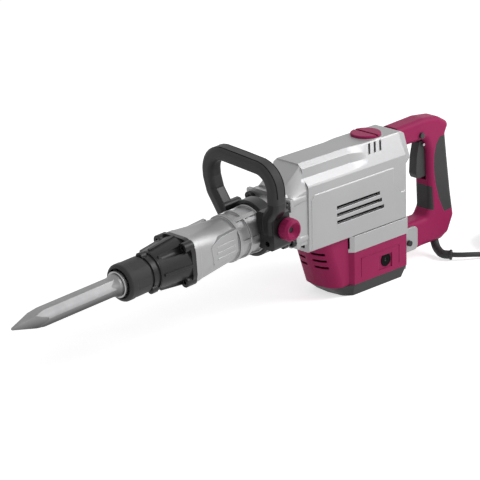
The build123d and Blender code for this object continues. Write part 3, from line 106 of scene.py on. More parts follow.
class Finish:
    """One material, with a method that adds any node."""

    def __init__(self, name, **constants):
        if name in bpy.data.materials:
            bpy.data.materials.remove(bpy.data.materials[name])
        self.material = bpy.data.materials.new(name)
        self.material.use_nodes = True
        self.tree = self.material.node_tree
        self.shader = self.tree.nodes["Principled BSDF"]
        for socket, value in constants.items():
            self.shader.inputs[socket.replace("_", " ")].default_value = value

    def node(self, kind, settings, inputs, output=0):
        made = self.tree.nodes.new(kind)
        for key, value in settings.items():
            setattr(made, key, value)
        for key, value in inputs.items():
            self._feed(made.inputs[key], value)
        return Wire(self, made.outputs[output])

    def _feed(self, socket, value):
        if isinstance(value, Wire):
            self.tree.links.new(value.socket, socket)
        else:
            socket.default_value = value

    def feed(self, **sockets):
        for key, value in sockets.items():
            self._feed(self.shader.inputs[key.replace("_", " ")], value)

    def place(self):
        return self.node("ShaderNodeTexCoord", {}, {}, "Object")

    def noise(self, scale, detail=2.0, roughness=0.5, vector=None):
        return self.node("ShaderNodeTexNoise", {}, {
            "Vector": vector or self.place(), "Scale": scale, "Detail": detail,
            "Roughness": roughness}, "Fac")

    def stretched(self, size, turn=(0.0, 0.0, 0.0)):
        return self.node("ShaderNodeMapping", {}, {
            "Vector": self.place(), "Scale": size, "Rotation": turn}, "Vector")

    def split(self, vector):
        parts = self.node("ShaderNodeSeparateXYZ", {}, {"Vector": vector})
        return [Wire(self, socket) for socket in parts.socket.node.outputs]

    def mix(self, factor, first, second):
        return self.node("ShaderNodeMix", {"data_type": "RGBA"}, {
            "Factor": factor, 6: colour(first), 7: colour(second)}, 2)

    def bump(self, height, strength, distance, normal=None):
        inputs = {"Height": height, "Strength": strength, "Distance": distance}
        if normal is not None:
            inputs["Normal"] = normal
        return self.node("ShaderNodeBump", {}, inputs, "Normal")

    def soft_edges(self, radius):
        return self.node("ShaderNodeBevel", {"samples": 4}, {"Radius": radius}, "Normal")

    def edge_mask(self, radius, gain):
        """1 on outer edges and corners, 0 on flats."""
        soft = self.soft_edges(radius)
        flat = self.node("ShaderNodeNewGeometry", {}, {}, "Normal")
        agree = self.node("ShaderNodeVectorMath", {"operation": "DOT_PRODUCT"},
                          {0: soft, 1: flat}, "Value")
        return ((1.0 - agree) * gain).clamped()


def seen_directly(tree):
    """1 for the rays that show a surface to the camera, straight, mirrored or through glass."""
    path = tree.nodes.new("ShaderNodeLightPath")
    total = path.outputs["Is Camera Ray"]
    for name in ("Is Glossy Ray", "Is Transmission Ray"):
        add = tree.nodes.new("ShaderNodeMath")
        add.operation, add.use_clamp = "ADD", True
        tree.links.new(total, add.inputs[0])
        tree.links.new(path.outputs[name], add.inputs[1])
        total = add.outputs[0]
    return total


def colour(value):
    return value if isinstance(value, Wire) else (*value, 1.0)


# ---------------------------------------------------------------- finishes
def cast_alloy():
    """Fine blasted die casting: an even grain, slight clouds and brighter rubbed edges."""
    alloy = Finish("cast_alloy", Metallic=0.8)
    clouds = alloy.noise(9.0, 3.0)
    grain = alloy.noise(1400.0, 2.0, 0.6)
    body = alloy.mix(clouds, (0.33, 0.33, 0.335), (0.41, 0.41, 0.415))
    rubbed = alloy.edge_mask(0.0012, 3.0)
    alloy.feed(Base_Color=alloy.mix(rubbed * 0.6, body, (0.80, 0.80, 0.80)),
               Roughness=0.40 + clouds * 0.10 + grain * 0.06 - rubbed * 0.08,
               Normal=alloy.bump(grain, 0.10, 0.0004, alloy.soft_edges(0.0012)))
    return alloy.material


def machined_steel():
    """Ground steel with fine rings left by the grinding wheel."""
    steel = Finish("machined_steel", Metallic=1.0)
    rings = steel.noise(60.0, 3.0, 0.6, steel.stretched((24.0, 1.0, 1.0)))
    clouds = steel.noise(16.0)
    steel.feed(Base_Color=steel.mix(clouds, (0.28, 0.28, 0.285), (0.40, 0.40, 0.405)),
               Roughness=0.24 + rings * 0.16,
               Normal=steel.bump(rings, 0.12, 0.0002))
    return steel.material


def tool_steel():
    """Rolled hexagon bar: long draw marks, faint scale, painted shade darkening the underside and
    worn corners.
    """
    steel = Finish("tool_steel", Metallic=0.9)
    drawn = steel.noise(210.0, 3.0, 0.6, steel.stretched((0.04, 1.0, 1.0), (0.0, TILT, 0.0)))
    scale = steel.noise(38.0, 4.0, 0.6)
    worn = steel.edge_mask(0.0010, 3.0)
    x, _, z = steel.split(steel.place())
    height = (z - NOSE.z) - (x - NOSE.x) * tan(TILT)  # metres above the tool's axis
    # Painted shade: the base colour turns near-black below the tool's axis, standing for the shade
    # on the underside.
    painted_underside_shade = (height * -60.0 + 0.35).clamped()
    steel_tone = steel.mix(scale, (0.20, 0.20, 0.204), (0.32, 0.32, 0.324))
    body = steel.mix(painted_underside_shade, steel_tone, (0.055, 0.055, 0.056))
    steel.feed(Base_Color=steel.mix(worn * 0.35, body, (0.75, 0.75, 0.74)),
               Roughness=0.30 + drawn * 0.18 + scale * 0.08,
               Normal=steel.bump(drawn, 0.14, 0.0002, steel.soft_edges(0.0008)))
    return steel.material


def dark_steel():
    """Black-oxide fasteners with a faint mottle and rubbed rims."""
    steel = Finish("dark_steel", Metallic=0.8)
    mottle = steel.noise(220.0, 2.0)
    rubbed = steel.edge_mask(0.0005, 3.0)
    body = steel.mix(mottle, (0.020, 0.020, 0.022), (0.045, 0.045, 0.048))
    steel.feed(Base_Color=steel.mix(rubbed * 0.5, body, (0.25, 0.25, 0.26)),
               Roughness=0.34 + mottle * 0.14,
               Normal=steel.bump(mottle, 0.08, 0.0002, steel.soft_edges(0.0004)))
    return steel.material


def black_metal():
    """Satin black coating over a casting, with the casting's low waves and thin rubbed edges."""
    coat = Finish("black_metal", Specular_IOR_Level=0.28, Coat_Weight=0.10, Coat_Roughness=0.35)
    waves = coat.noise(70.0, 3.0)
    grain = coat.noise(1200.0, 1.0)
    rubbed = coat.edge_mask(0.0010, 2.2)
    body = coat.mix(waves, (0.008, 0.008, 0.009), (0.016, 0.016, 0.017))
    coat.feed(Base_Color=coat.mix(rubbed * 0.35, body, (0.16, 0.16, 0.165)),
              Roughness=0.28 + waves * 0.12 + grain * 0.06,
              Normal=coat.bump(waves * 0.6 + grain * 0.25, 0.16, 0.0006, coat.soft_edges(0.0010)))
    return coat.material


def magenta_plastic():
    """Moulded glass-filled plastic: spark-eroded texture, faint flow clouds, paler rubbed edges."""
    tone = bpy.context.scene.hammer_colours.shell
    shell = Finish("magenta_plastic", Specular_IOR_Level=0.10)
    grain = shell.noise(1500.0, 2.0, 0.7)
    clouds = shell.noise(12.0, 3.0)
    pale = tuple(min(1.0, c * 1.18 + 0.008) for c in tone)
    rubbed = shell.edge_mask(0.0012, 2.0)
    body = shell.mix(clouds, tuple(tone), pale)
    shell.feed(Base_Color=shell.mix(rubbed * 0.30, body, (0.48, 0.10, 0.22)),
               Roughness=0.36 + grain * 0.12 + clouds * 0.06,
               Normal=shell.bump(grain, 0.12, 0.0004, shell.soft_edges(0.0012)))
    return shell.material


def black_plastic():
    """Textured black moulding."""
    part = Finish("black_plastic")
    grain = part.noise(1600.0, 2.0, 0.7)
    clouds = part.noise(20.0, 2.0)
    part.feed(Base_Color=part.mix(clouds, (0.018, 0.018, 0.019), (0.030, 0.030, 0.031)),
              Roughness=0.46 + grain * 0.14,
              Normal=part.bump(grain, 0.14, 0.0004, part.soft_edges(0.0008)))
    return part.material


def black_rubber():
    """Soft overmould: matt, slightly dusty, with a fine leathery grain."""
    rubber = Finish("black_rubber", IOR=1.45, Sheen_Weight=0.08, Sheen_Roughness=0.5)
    cells = rubber.node("ShaderNodeTexVoronoi", {}, {"Vector": rubber.place(), "Scale": 900.0},
                        "Distance")
    dust = rubber.noise(24.0, 4.0, 0.6)
    rubber.feed(Base_Color=rubber.mix(dust, (0.014, 0.014, 0.015), (0.030, 0.030, 0.031)),
                Roughness=0.56 + dust * 0.16,
                Normal=rubber.bump(cells, 0.16, 0.0004, rubber.soft_edges(0.0010)))
    return rubber.material


def cord_rubber():
    """Smooth extruded sheath with a faint dull bloom."""
    sheath = Finish("cord_rubber", IOR=1.45)
    bloom = sheath.noise(40.0, 3.0)
    fine = sheath.noise(800.0, 1.0)
    sheath.feed(Base_Color=sheath.mix(bloom, (0.014, 0.014, 0.015), (0.030, 0.030, 0.031)),
                Roughness=0.48 + bloom * 0.12,
                Normal=sheath.bump(fine, 0.06, 0.0003))
    return sheath.material


def core_steel():
    """Stacked and varnished laminations."""
    core = Finish("core_steel", Metallic=0.7)
    height = core.split(core.place())[2]
    sheets = (height * 6000.0).sine()
    core.feed(Base_Color=core.mix(sheets.clamped(), (0.20, 0.18, 0.17), (0.34, 0.33, 0.33)),
              Roughness=0.42 + sheets * 0.06,
              Normal=core.bump(sheets, 0.2, 0.0003))
    return core.material


def copper():
    """Varnished winding wire and bars."""
    wire = Finish("copper", Metallic=0.9, Coat_Weight=0.4)
    strands = wire.noise(500.0, 2.0, 0.5, wire.stretched((1.0, 0.1, 1.0)))
    wire.feed(Base_Color=wire.mix(strands, (0.45, 0.18, 0.08), (0.80, 0.40, 0.22)),
              Roughness=0.30 + strands * 0.2,
              Normal=wire.bump(strands, 0.4, 0.0006))
    return wire.material


def carbon():
    """Pressed brush carbon."""
    brush = Finish("carbon")
    grain = brush.noise(900.0, 3.0)
    brush.feed(Base_Color=brush.mix(grain, (0.02, 0.02, 0.02), (0.06, 0.06, 0.06)),
               Roughness=0.5 + grain * 0.2, Normal=brush.bump(grain, 0.2, 0.0003))
    return brush.material


def opening_black():
    """Painted shade: near-black standing for the unlit inside of air slots and sockets."""
    dark = Finish("opening_black", Specular_IOR_Level=0.1)
    dust = dark.noise(300.0, 2.0)
    dark.feed(Base_Color=dark.mix(dust, (0.004, 0.004, 0.004), (0.010, 0.010, 0.010)),
              Roughness=0.85 + dust * 0.1, Normal=dark.bump(dust, 0.1, 0.0004))
    return dark.material


FINISHES = (cast_alloy, machined_steel, tool_steel, dark_steel, black_metal, magenta_plastic,
            black_plastic, black_rubber, cord_rubber, core_steel, copper, carbon, opening_black)


# ---------------------------------------------------------------- piece helpers
WELD = 1e-6           # metres between points that are one
CAD_WELD = 2e-6
FLAT_ANGLE = radians(1.0)
SMOOTH_ANGLE = radians(38)


def finish_piece(name, mesh, body, slot_name, finish=None):
    """Links a finished mesh as a piece that rides on a body and takes a slot's finish."""
    piece = bpy.data.objects.new(name, mesh)
    bpy.context.scene.collection.objects.link(piece)
    mesh.materials.clear()
    mesh.materials.append(bpy.data.materials[finish or slot_name])
    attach(piece, body)
    return piece


def mesh_of(bm, name, smooth=True):
    bmesh.ops.remove_doubles(bm, verts=bm.verts, dist=WELD)
    bmesh.ops.recalc_face_normals(bm, faces=bm.faces)
    mesh = bpy.data.meshes.new(name)
    bm.to_mesh(mesh)
    bm.free()
    for face in mesh.polygons:
        face.use_smooth = smooth
    if smooth:
        mesh.set_sharp_from_angle(angle=SMOOTH_ANGLE)
    return mesh


def rounded_copy(node, width, segments=2, angle=28):
    """A copy of a CAD node's mesh, joined up, with its hard edges rounded."""
    bm = bmesh.new()
    bm.from_mesh(NODES[node].data)
    bmesh.ops.remove_doubles(bm, verts=bm.verts, dist=CAD_WELD)
    bmesh.ops.dissolve_limit(bm, angle_limit=FLAT_ANGLE, verts=bm.verts, edges=bm.edges)
    hard = [e for e in bm.edges
            if len(e.link_faces) == 2 and e.calc_face_angle(0.0) > radians(angle)]
    bmesh.ops.bevel(bm, geom=hard, offset=width, offset_type="OFFSET", affect="EDGES",
                    segments=segments, profile=0.5, material=-1, clamp_overlap=True,
                    miter_outer="ARC")
    return bm


def bar(bm, low, high, bevel=0.0, segments=2, matrix=None):
    """Adds a rounded box between two corners given in millimetres."""
    low, high = Vector(low) * MM, Vector(high) * MM
    made = bmesh.ops.create_cube(bm, size=1.0)["verts"]
    bmesh.ops.scale(bm, vec=high - low, verts=made)
    bmesh.ops.translate(bm, vec=(low + high) / 2, verts=made)
    if bevel:
        edges = list({e for v in made for e in v.link_edges})
        rounded = bmesh.ops.bevel(bm, geom=edges, offset=bevel * MM, offset_type="OFFSET",
                                  affect="EDGES", segments=segments, profile=0.5, material=-1)
        made = list({v for f in rounded["faces"] for v in f.verts}
                    | {v for v in made if v.is_valid})
    if matrix is not None:
        bmesh.ops.transform(bm, matrix=matrix, verts=made)
    return made


def spun(bm, outline, steps, matrix=None):
    """Adds a solid of revolution about local Z from (radius, height) points in millimetres."""
    ring = [bm.verts.new((r * MM, 0.0, z * MM)) for r, z in outline]
    edges = [bm.edges.new(pair) for pair in zip(ring, ring[1:])]
    before = set(bm.verts)
    bmesh.ops.spin(bm, geom=ring + edges, cent=(0, 0, 0), axis=(0, 0, 1), angle=2 * pi,
                   steps=steps, use_merge=True)
    made = ring + [v for v in bm.verts if v not in before]
    made = [v for v in made if v.is_valid]
    bmesh.ops.remove_doubles(bm, verts=made, dist=WELD)
    made = [v for v in made if v.is_valid]
    if matrix is not None:
        bmesh.ops.transform(bm, matrix=matrix, verts=made)
    return made


def swept_bar(bm, route, radius, sides=10):
    """Adds a round bar of the given radius (mm) along a route of points in metres."""
    rings = []
    for k, place in enumerate(route):
        heading = (route[min(k + 1, len(route) - 1)] - route[max(k - 1, 0)]).normalized()
        across = heading.cross(BACK_AXIS).normalized()
        other = heading.cross(across)
        rings.append([bm.verts.new(place + (across * cos(a) + other * sin(a)) * radius * MM)
                      for a in (2 * pi * n / sides for n in range(sides))])
    for first, second in zip(rings, rings[1:]):
        for n in range(sides):
            m = (n + 1) % sides
            bm.faces.new((first[n], first[m], second[m], second[n]))
    bm.faces.new(rings[0])
    bm.faces.new(reversed(rings[-1]))


def rounded_route(points, radii, steps=8):
    """Points of a polyline in the plane with its inner corners replaced by arcs."""
    route = [Vector(points[0])]
    for before, corner, after, radius in zip(points, points[1:], points[2:], radii):
        before, corner, after = Vector(before), Vector(corner), Vector(after)
        back, ahead = (before - corner).normalized(), (after - corner).normalized()
        half = back.angle(ahead) / 2
        centre = corner + (back + ahead).normalized() * radius / sin(half)
        start = corner + back * radius / tan(half) - centre
        end = corner + ahead * radius / tan(half) - centre
        sweep = start.angle_signed(end)
        for k in range(steps + 1):
            turned = start.copy()
            turned.rotate(Matrix.Rotation(-sweep * k / steps, 2))
            route.append(centre + turned)
    route.append(Vector(points[-1]))
    return route


# ---------------------------------------------------------------- settings
class HammerColours(bpy.types.PropertyGroup):
    """Colours of the moulded parts."""
    shell: FloatVectorProperty(name="Shell", description="Colour of the moulded covers and handle",
                               subtype="COLOR", default=(0.31, 0.016, 0.088), min=0.0, max=1.0)


class HammerSizes(bpy.types.PropertyGroup):
    """Sizes of what is added to the CAD frame."""
    edge: FloatProperty(name="Edge radius", description="Radius of the castings' outer edges",
                        default=0.0016, unit="LENGTH")
    cord: FloatProperty(name="Cord diameter", description="Outer diameter of the mains cord",
                        default=0.009, unit="LENGTH")
    turns: IntProperty(name="Turns", description="Turns in the put-away coil", default=16)


class HammerOperator(bpy.types.Operator):
    """Base of the operators that build the hammer; each of them has its own build."""
    bl_idname = "hammer.base"
    bl_label = "Base"
    bl_options = {"REGISTER", "UNDO"}

    def execute(self, context):
        self.build(context.scene.hammer_sizes)
        return {"FINISHED"}


class PaintNodes(HammerOperator):
    """Makes every finish and gives each CAD node the finish of its slot"""
    bl_idname = "hammer.paint_nodes"
    bl_label = "Paint CAD parts"

    def build(self, sizes):
        for make in FINISHES:
            make()
        for part in frame["record"]["subparts"]:
            data = NODES[part["node"]].data
            data.materials.clear()
            data.materials.append(bpy.data.materials[part["material_slot"]])


# How much of the castings' edge radius each rounded piece takes.
ROUNDED = {"crank_housing": 1.0, "motor_cover": 0.7, "base_foot": 1.6, "barrel": 0.6,
           "retainer_housing": 0.7, "side_handle_frame": 0.8, "rear_bracket": 0.8,
           "grease_cap": 0.4, "trigger": 0.9, "chisel": 0.5, "release_sleeve": 0.5}


class RoundCastings(HammerOperator):
    """Replaces the sharp-edged castings and mouldings by copies with rounded edges"""
    bl_idname = "hammer.round_castings"
    bl_label = "Round the castings"

    def build(self, sizes):
        slots = {p["node"]: p["material_slot"] for p in frame["record"]["subparts"]}
        bodies = {node: body for body, nodes in frame["record"]["behaviour"]["bodies"].items()
                  for node in nodes}
        for node, factor in ROUNDED.items():
            bm = rounded_copy(node, sizes.edge * factor)
            piece = finish_piece("round_" + node, mesh_of(bm, node), bodies[node], slots[node])
            weighted = piece.modifiers.new("weighted", "WEIGHTED_NORMAL")
            weighted.keep_sharp = True
            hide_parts(node)


# ---------------------------------------------------------------- openings
# Millimetres in the row frame, for one side; the other side is its mirror image.
SIDES = (1, -1)

LOUVRES = ((173.0, 27.0), (160.0, 32.0), (147.0, 37.0))  # top and rear end of each slot
LOUVRE_FRONT = -79.0
LOUVRE_FLOOR = (43.5, 43.9)
LOUVRE_END_GAP, LOUVRE_TOP_GAP, LOUVRE_DROP = 0.5, 0.3, 6.2

COVER_FRAME = ((-20.0, 62.6, 76.0, 64.0), (74.6, 30.0, 76.0, 64.0), (-20.0, 29.6, -18.6, 64.0))
COVER_FRAME_OUT = (47.6, 48.7)
COVER_FRAME_EDGE = 0.35

CAP_AT = (0.0429, 0.0, 0.0440)  # metres
CAP_RIM = ((3.2, 45.9), (3.6, 46.9), (8.8, 46.9), (9.2, 47.5), (11.2, 47.5), (11.9, 46.8),
           (11.9, 45.6))  # radius and distance out
CAP_STEPS = 48

VENTS, VENT_LEAN = (16.3, 29.9, 43.6), 3.8
VENT_TOP_OUT, VENT_TOP = 27.5, 256.0
VENT_RUN, VENT_FALL = 7.6, 16.0      # the floor's slope from its top to its low end
VENT_NORMAL = (0.90, 0.43)           # out and up
VENT_ENDS = (0.06, 0.94)             # shares of the slope
VENT_EDGES = (-2.3, 2.3)
VENT_LIFTS = (0.1, 0.4)


class AirSlots(HammerOperator):
    """Near-black floors of the louvres and vents and the brush caps' rims, painted shade for their
    unlit insides, and the motor cover's frame
    """
    bl_idname = "hammer.air_slots"
    bl_label = "Air slots and cover frame"

    def build(self, sizes):
        self.louvre_floors()
        self.cover_frame()
        self.cap_rims()
        self.vent_floors()

    def louvre_floors(self):
        bm = bmesh.new()
        for top, rear in LOUVRES:
            for side in SIDES:
                low, high = sorted(side * out for out in LOUVRE_FLOOR)
                bar(bm, (LOUVRE_FRONT + LOUVRE_END_GAP, low, top - LOUVRE_DROP),
                    (rear - LOUVRE_END_GAP, high, top - LOUVRE_TOP_GAP))
        # Painted shade: near-black slabs inside the louvres stand for their unlit insides.
        finish_piece("louvre_floors", mesh_of(bm, "louvre_floors", False), "hammer",
                     "black_plastic", "opening_black")

    def cover_frame(self):
        bm = bmesh.new()
        for side in SIDES:
            low, high = sorted(side * out for out in COVER_FRAME_OUT)
            for x0, z0, x1, z1 in COVER_FRAME:
                bar(bm, (x0, low, z0), (x1, high, z1), COVER_FRAME_EDGE)
        finish_piece("cover_frame", mesh_of(bm, "cover_frame"), "hammer", "magenta_plastic")

    def cap_rims(self):
        bm = bmesh.new()
        for side in SIDES:
            cap = Matrix.Translation(CAP_AT) @ Matrix.Rotation(side * pi / 2, 4, "X")
            spun(bm, CAP_RIM, CAP_STEPS, cap)
        # Painted shade: the rims round the brush caps are near-black for the unlit sockets.
        finish_piece("cap_rims", mesh_of(bm, "cap_rims"), "hammer", "black_plastic",
                     "opening_black")

    def vent_floors(self):
        bm = bmesh.new()
        for x in VENTS:
            for side in SIDES:
                corners = [self.vent_corner(bm, x, side, part, wide, lift)
                           for part in VENT_ENDS for wide in VENT_EDGES for lift in VENT_LIFTS]
                bmesh.ops.convex_hull(bm, input=corners)
        # Painted shade: near-black slabs on the vents' floors stand for their unlit insides.
        finish_piece("vent_floors", mesh_of(bm, "vent_floors", False), "hammer",
                     "black_plastic", "opening_black")

    def vent_corner(self, bm, x, side, part, wide, lift):
        """One corner of a thin slab that lies on a vent's sloping floor."""
        out_normal, up_normal = VENT_NORMAL
        return bm.verts.new((
            (x + VENT_LEAN * (1 - 2 * part) + wide) * MM,
            side * (VENT_TOP_OUT + VENT_RUN * part + out_normal * lift) * MM,
            (VENT_TOP - VENT_FALL * part + up_normal * lift) * MM))


# ---------------------------------------------------------------- side handle
# Millimetres in the hammer frame: up, near and back.
LOOP_BACK = 291.0
LOOP_CORNERS = ((66, -73.5), (80, -75), (129, -75), (118, 75), (65, 75))
LOOP_RADII = (20, 36, 36)
LOOP_INSIDE = (40.0, 0.0)
GROOVES_BACK = (-8.5, 8.5)
GROOVE_OUT, GROOVE_R = 11.75, 0.75
SHORTEST_STEP = 0.5

BARREL_RIM = ((40.9, 293.5), (41.7, 294.0), (41.7, 295.6), (40.9, 296.1))
BARREL_RIM_STEPS = 64

FLANGE_BOLTS = ((34, 43, 344), (-33, 45, 352))
EAR_HALF_H, EAR_IN, EAR_OUT, EAR_T, EAR_EDGE = 12, 10, 9, 10, 3.5
BOLT_HEAD = ((0.0, -1.5), (3.4, -1.5), (3.8, -6.4), (6.4, -6.4), (7.2, -5.4), (7.2, 0.5))
BOLT_STEPS = 32

KNOB_AT = (14, 0, 308)
# The lip stands 2 mm past the CAD knob: the seen box's floor allowance needs that reach.
KNOB_RIM = ((11.2, 90.6), (11.6, 92.6), (12.6, 93.9), (14.4, 94.3), (16.2, 93.4), (17.4, 91.0),
            (17.6, 88.0))
KNOB_RIM_STEPS = 64
KNOB_RIBS = 10
KNOB_RIB = ((17.9, -1.2, 77.5), (19.3, 1.2, 88.5))
KNOB_RIB_EDGE = 0.6


class LoopDetails(HammerOperator):
    """Grip grooves, the barrel's machined rim, the flange's bolted ears and the knob's rim"""
    bl_idname = "hammer.loop_details"
    bl_label = "Side handle details"

    def build(self, sizes):
        self.grip_grooves()
        self.barrel_rim()
        self.flange()
        self.knob_rim()

    def grip_grooves(self):
        bm = bmesh.new()
        route = rounded_route(LOOP_CORNERS, LOOP_RADII)
        inside = Vector(LOOP_INSIDE)
        for back in GROOVES_BACK:
            groove = []
            for here, there in zip(route, route[1:]):
                heading = there - here
                if heading.length < SHORTEST_STEP:
                    continue
                out = Vector((heading.y, -heading.x)).normalized()
                if out.dot((here + there) / 2 - inside) < 0:
                    out = -out
                middle = (here + there) / 2 + out * GROOVE_OUT
                groove.append(hammer_point(middle.x, middle.y, LOOP_BACK + back))
            swept_bar(bm, groove, GROOVE_R)
        # Painted shade: the grooves are near-black bars standing for the shade in their floors.
        finish_piece("grip_grooves", mesh_of(bm, "grip_grooves"), "side_handle",
                     "black_plastic", "opening_black")

    def barrel_rim(self):
        bm = bmesh.new()
        spun(bm, BARREL_RIM, BARREL_RIM_STEPS, HAMMER)
        finish_piece("barrel_rim", mesh_of(bm, "barrel_rim"), "hammer", "machined_steel")

    def flange(self):
        ears, bolts = bmesh.new(), bmesh.new()
        for up, near, back in FLANGE_BOLTS:
            head = [(radius, back + rise) for radius, rise in BOLT_HEAD]
            for side in SIDES:
                bar(ears, (up - EAR_HALF_H, side * near - EAR_IN, back),
                    (up + EAR_HALF_H, side * near + EAR_OUT, back + EAR_T), EAR_EDGE,
                    matrix=HAMMER)
                spun(bolts, head, BOLT_STEPS,
                     HAMMER @ Matrix.Translation((up * MM, side * near * MM, 0.0)))
        finish_piece("flange_ears", mesh_of(ears, "flange_ears"), "hammer", "cast_alloy")
        finish_piece("flange_bolts", mesh_of(bolts, "flange_bolts"), "hammer", "dark_steel")

    def knob_rim(self):
        bm = bmesh.new()
        face = Matrix.Translation(hammer_point(*KNOB_AT)) @ Matrix.Rotation(pi / 2, 4, "X")
        spun(bm, KNOB_RIM, KNOB_RIM_STEPS, face)
        for turn in range(KNOB_RIBS):
            bar(bm, *KNOB_RIB, KNOB_RIB_EDGE,
                matrix=face @ Matrix.Rotation(2 * pi * turn / KNOB_RIBS, 4, "Z"))
        finish_piece("knob_rim", mesh_of(bm, "knob_rim"), "knob", "magenta_plastic")


# ---------------------------------------------------------------- cord
# Metres in the row frame.
BOOT_END = (0.2065, -0.0535, 0.0096)
LEAD = [BOOT_END, (0.2141, -0.0659, 0.00984), (0.2364, -0.0813, 0.0090), (0.2656, -0.0983, 0.0046),
        (0.2943, -0.1183, 0.0046), (0.3183, -0.1363, 0.0046)]
TAIL = [(0.3183, -0.1363, 0.0316), (0.3403, -0.1528, 0.0302), (0.3625, -0.1710, 0.0171),
        (0.3790, -0.1844, 0.0171)]
COIL_TURN_R = 0.0635
COIL_RINGS = 4
POINTS_PER_TURN = 16
RUN_IN = (Vector(LEAD[-1]) - Vector(LEAD[-2])).normalized()
COIL_CENTRE = Vector((LEAD[-1][0] - RUN_IN.y * COIL_TURN_R,
                      LEAD[-1][1] + RUN_IN.x * COIL_TURN_R, 0.0))


def coil_route(turns, pitch):
    """Control points of the neat coil: rings inwards, then outwards on the layer above."""
    start = Vector(LEAD[-1]) - COIL_CENTRE
    start_angle = Vector((start.x, start.y)).angle_signed(Vector((1, 0)))
    grow = 1.0 / cos(pi / POINTS_PER_TURN)
    points = []
    for k in range(1, turns * POINTS_PER_TURN):
        turn = k / POINTS_PER_TURN
        layer = int(turn // COIL_RINGS)
        along = turn - layer * COIL_RINGS
        ring = min(along, COIL_RINGS - 1.0) if layer % 2 == 0 else max(COIL_RINGS - 1.0 - along, 0.0)
        radius = (COIL_TURN_R - ring * pitch) * grow
        rise = max(0.0, along - (COIL_RINGS - 1.0)) if layer < COIL_RINGS - 1 else 0.0
        angle = start_angle + 2 * pi * turn
        points.append((COIL_CENTRE.x + radius * cos(angle), COIL_CENTRE.y + radius * sin(angle),
                       LEAD[-1][2] + (layer + rise) * pitch))
    return points


class MainsCord(HammerOperator):
    """The mains cord: from the boot along the floor and its put-away coil"""
    bl_idname = "hammer.mains_cord"
    bl_label = "Mains cord"

    def build(self, sizes):
        pitch = sizes.cord
        route = LEAD + coil_route(sizes.turns, pitch) + TAIL
        curve = bpy.data.curves.new("mains_cord", "CURVE")
        curve.dimensions = "3D"
        spline = curve.splines.new("NURBS")
        spline.points.add(len(route) - 1)
        for point, place in zip(spline.points, route):
            point.co = (*place, 1.0)
        spline.order_u = 3
        spline.use_endpoint_u = True
        spline.resolution_u = 3
        curve.bevel_depth = sizes.cord / 2
        curve.bevel_resolution = 3
        curve.use_fill_caps = True
        cord = bpy.data.objects.new("mains_cord", curve)
        bpy.context.scene.collection.objects.link(cord)
        curve.materials.append(bpy.data.materials["cord_rubber"])
        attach(cord, "hammer")
        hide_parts("power_cord", "cord_coil")


# ---------------------------------------------------------------- stage
CAMERA_AZIMUTH, CAMERA_ELEVATION, CAMERA_ROLL = radians(-43.7), radians(19.7), radians(1.65)
FOCAL_IN_FRAMES = 2600 / 480
CAMERA_DISTANCE = 4.1
NOSE_IN_FRAME = Vector(((115.5 - 240) / 2600, (240 - 285.2) / 2600))
CAMERA_REACH = 50.0
SENSOR_WIDTH = 36.0  # millimetres
LAMPS = (("key", (1.17, -1.15, 1.5), 1.2, 26.0), ("near", (-0.2, -2.9, 0.9), 1.6, 8.0))
LAMPS_AIM = (-0.15, 0.0, 0.15)
SKY_STRENGTH = 0.36
FLOOR_GLOW = 0.62
FLOOR_HALF, FLOOR_DROP = 12.0, 0.0005
WHITE, BLACK = (1.0, 1.0, 1.0), (0.0, 0.0, 0.0)


def camera_pose():
    """Camera that holds the nose ring at its place in the frame."""
    a, e, r = CAMERA_AZIMUTH, CAMERA_ELEVATION, CAMERA_ROLL
    back = Vector((sin(a) * cos(e), -cos(a) * cos(e), sin(e)))
    level = Vector((cos(a), sin(a), 0.0))
    rise = back.cross(level)
    right = level * cos(r) - rise * sin(r)
    up = level * sin(r) + rise * cos(r)
    place = NOSE + (back - right * NOSE_IN_FRAME.x - up * NOSE_IN_FRAME.y) * CAMERA_DISTANCE
    return Matrix.Translation(place) @ Matrix((right, up, back)).transposed().to_4x4()


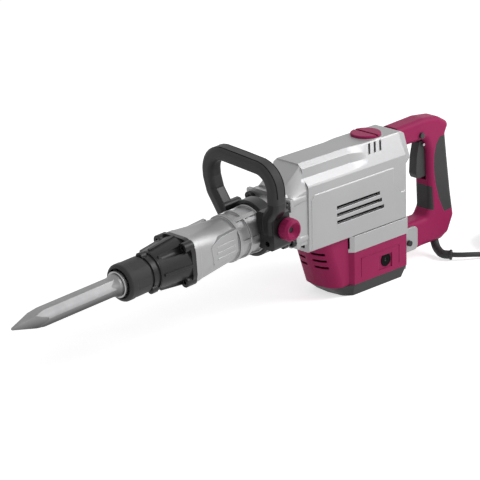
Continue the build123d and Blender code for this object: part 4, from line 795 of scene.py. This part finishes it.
class Stage(HammerOperator):
    """Floor, world, lamps and the camera"""
    bl_idname = "hammer.stage"
    bl_label = "Stage"

    def build(self, sizes):
        scene = bpy.context.scene
        scene.view_settings.view_transform = "Standard"
        self.floor()
        self.world(scene)
        for name, place, size, power in LAMPS:
            self.lamp(name, place, size, power)
        camera = bpy.data.objects.new("camera", bpy.data.cameras.new("camera"))
        scene.collection.objects.link(camera)
        camera.data.sensor_width = SENSOR_WIDTH
        camera.data.lens = FOCAL_IN_FRAMES * camera.data.sensor_width
        camera.data.clip_end = CAMERA_REACH
        camera.matrix_world = camera_pose()
        scene.camera = camera

    def floor(self):
        bm = bmesh.new()
        bmesh.ops.create_grid(bm, x_segments=1, y_segments=1, size=FLOOR_HALF)
        bmesh.ops.translate(bm, vec=(0, 0, -FLOOR_DROP), verts=bm.verts)
        mesh = bpy.data.meshes.new("floor")
        bm.to_mesh(mesh)
        bm.free()
        pale = Finish("floor_pale", Roughness=0.9, Specular_IOR_Level=0.0,
                      Emission_Strength=FLOOR_GLOW)
        tint = pale.noise(2.0)
        seen = Wire(pale, seen_directly(pale.tree))
        pale.feed(Base_Color=pale.mix(tint, (0.93, 0.93, 0.93), (0.95, 0.95, 0.95)),
                  Emission_Color=pale.mix(seen, BLACK, WHITE))
        mesh.materials.append(pale.material)
        floor = bpy.data.objects.new("floor", mesh)
        bpy.context.scene.collection.objects.link(floor)

    def world(self, scene):
        scene.world = bpy.data.worlds.new("studio")
        scene.world.use_nodes = True
        tree = scene.world.node_tree
        sky = tree.nodes["Background"]
        sky.inputs["Strength"].default_value = SKY_STRENGTH
        sky.inputs["Color"].default_value = (*WHITE, 1.0)
        white = tree.nodes.new("ShaderNodeBackground")
        white.inputs["Color"].default_value = (*WHITE, 1.0)
        mixer = tree.nodes.new("ShaderNodeMixShader")
        tree.links.new(seen_directly(tree), mixer.inputs[0])
        tree.links.new(sky.outputs[0], mixer.inputs[1])
        tree.links.new(white.outputs[0], mixer.inputs[2])
        tree.links.new(mixer.outputs[0], tree.nodes["World Output"].inputs["Surface"])

    def lamp(self, name, place, size, power):
        light = bpy.data.lights.new(name, "AREA")
        light.size = size
        light.energy = power
        lamp = bpy.data.objects.new(name, light)
        bpy.context.scene.collection.objects.link(lamp)
        aim = Vector(LAMPS_AIM) - Vector(place)
        turn = aim.to_track_quat("-Z", "Y").to_matrix().to_4x4()
        lamp.matrix_world = Matrix.Translation(place) @ turn


# ---------------------------------------------------------------- add-on
class HammerPanel(bpy.types.Panel):
    """Lists the operators and settings of the hammer"""
    bl_idname = "VIEW3D_PT_hammer"
    bl_label = "Demolition Hammer"
    bl_space_type = "VIEW_3D"
    bl_region_type = "UI"
    bl_category = "Hammer"

    def draw(self, context):
        scene = context.scene
        for group in (scene.hammer_colours, scene.hammer_sizes):
            for name in group.__annotations__:
                self.layout.prop(group, name)
        for operator in BUILDERS:
            self.layout.operator(operator.bl_idname)


BUILDERS = (PaintNodes, RoundCastings, AirSlots, LoopDetails, MainsCord, Stage)
CLASSES = (HammerColours, HammerSizes) + BUILDERS + (HammerPanel,)


def register():
    for cls in CLASSES:
        bpy.utils.register_class(cls)
    bpy.types.Scene.hammer_colours = PointerProperty(type=HammerColours)
    bpy.types.Scene.hammer_sizes = PointerProperty(type=HammerSizes)


def unregister():
    del bpy.types.Scene.hammer_sizes
    del bpy.types.Scene.hammer_colours
    for cls in reversed(CLASSES):
        bpy.utils.unregister_class(cls)


def main():
    register()
    for operator in BUILDERS:
        group, name = operator.bl_idname.split(".")
        getattr(getattr(bpy.ops, group), name)()


if __name__ == "__main__":
    main()
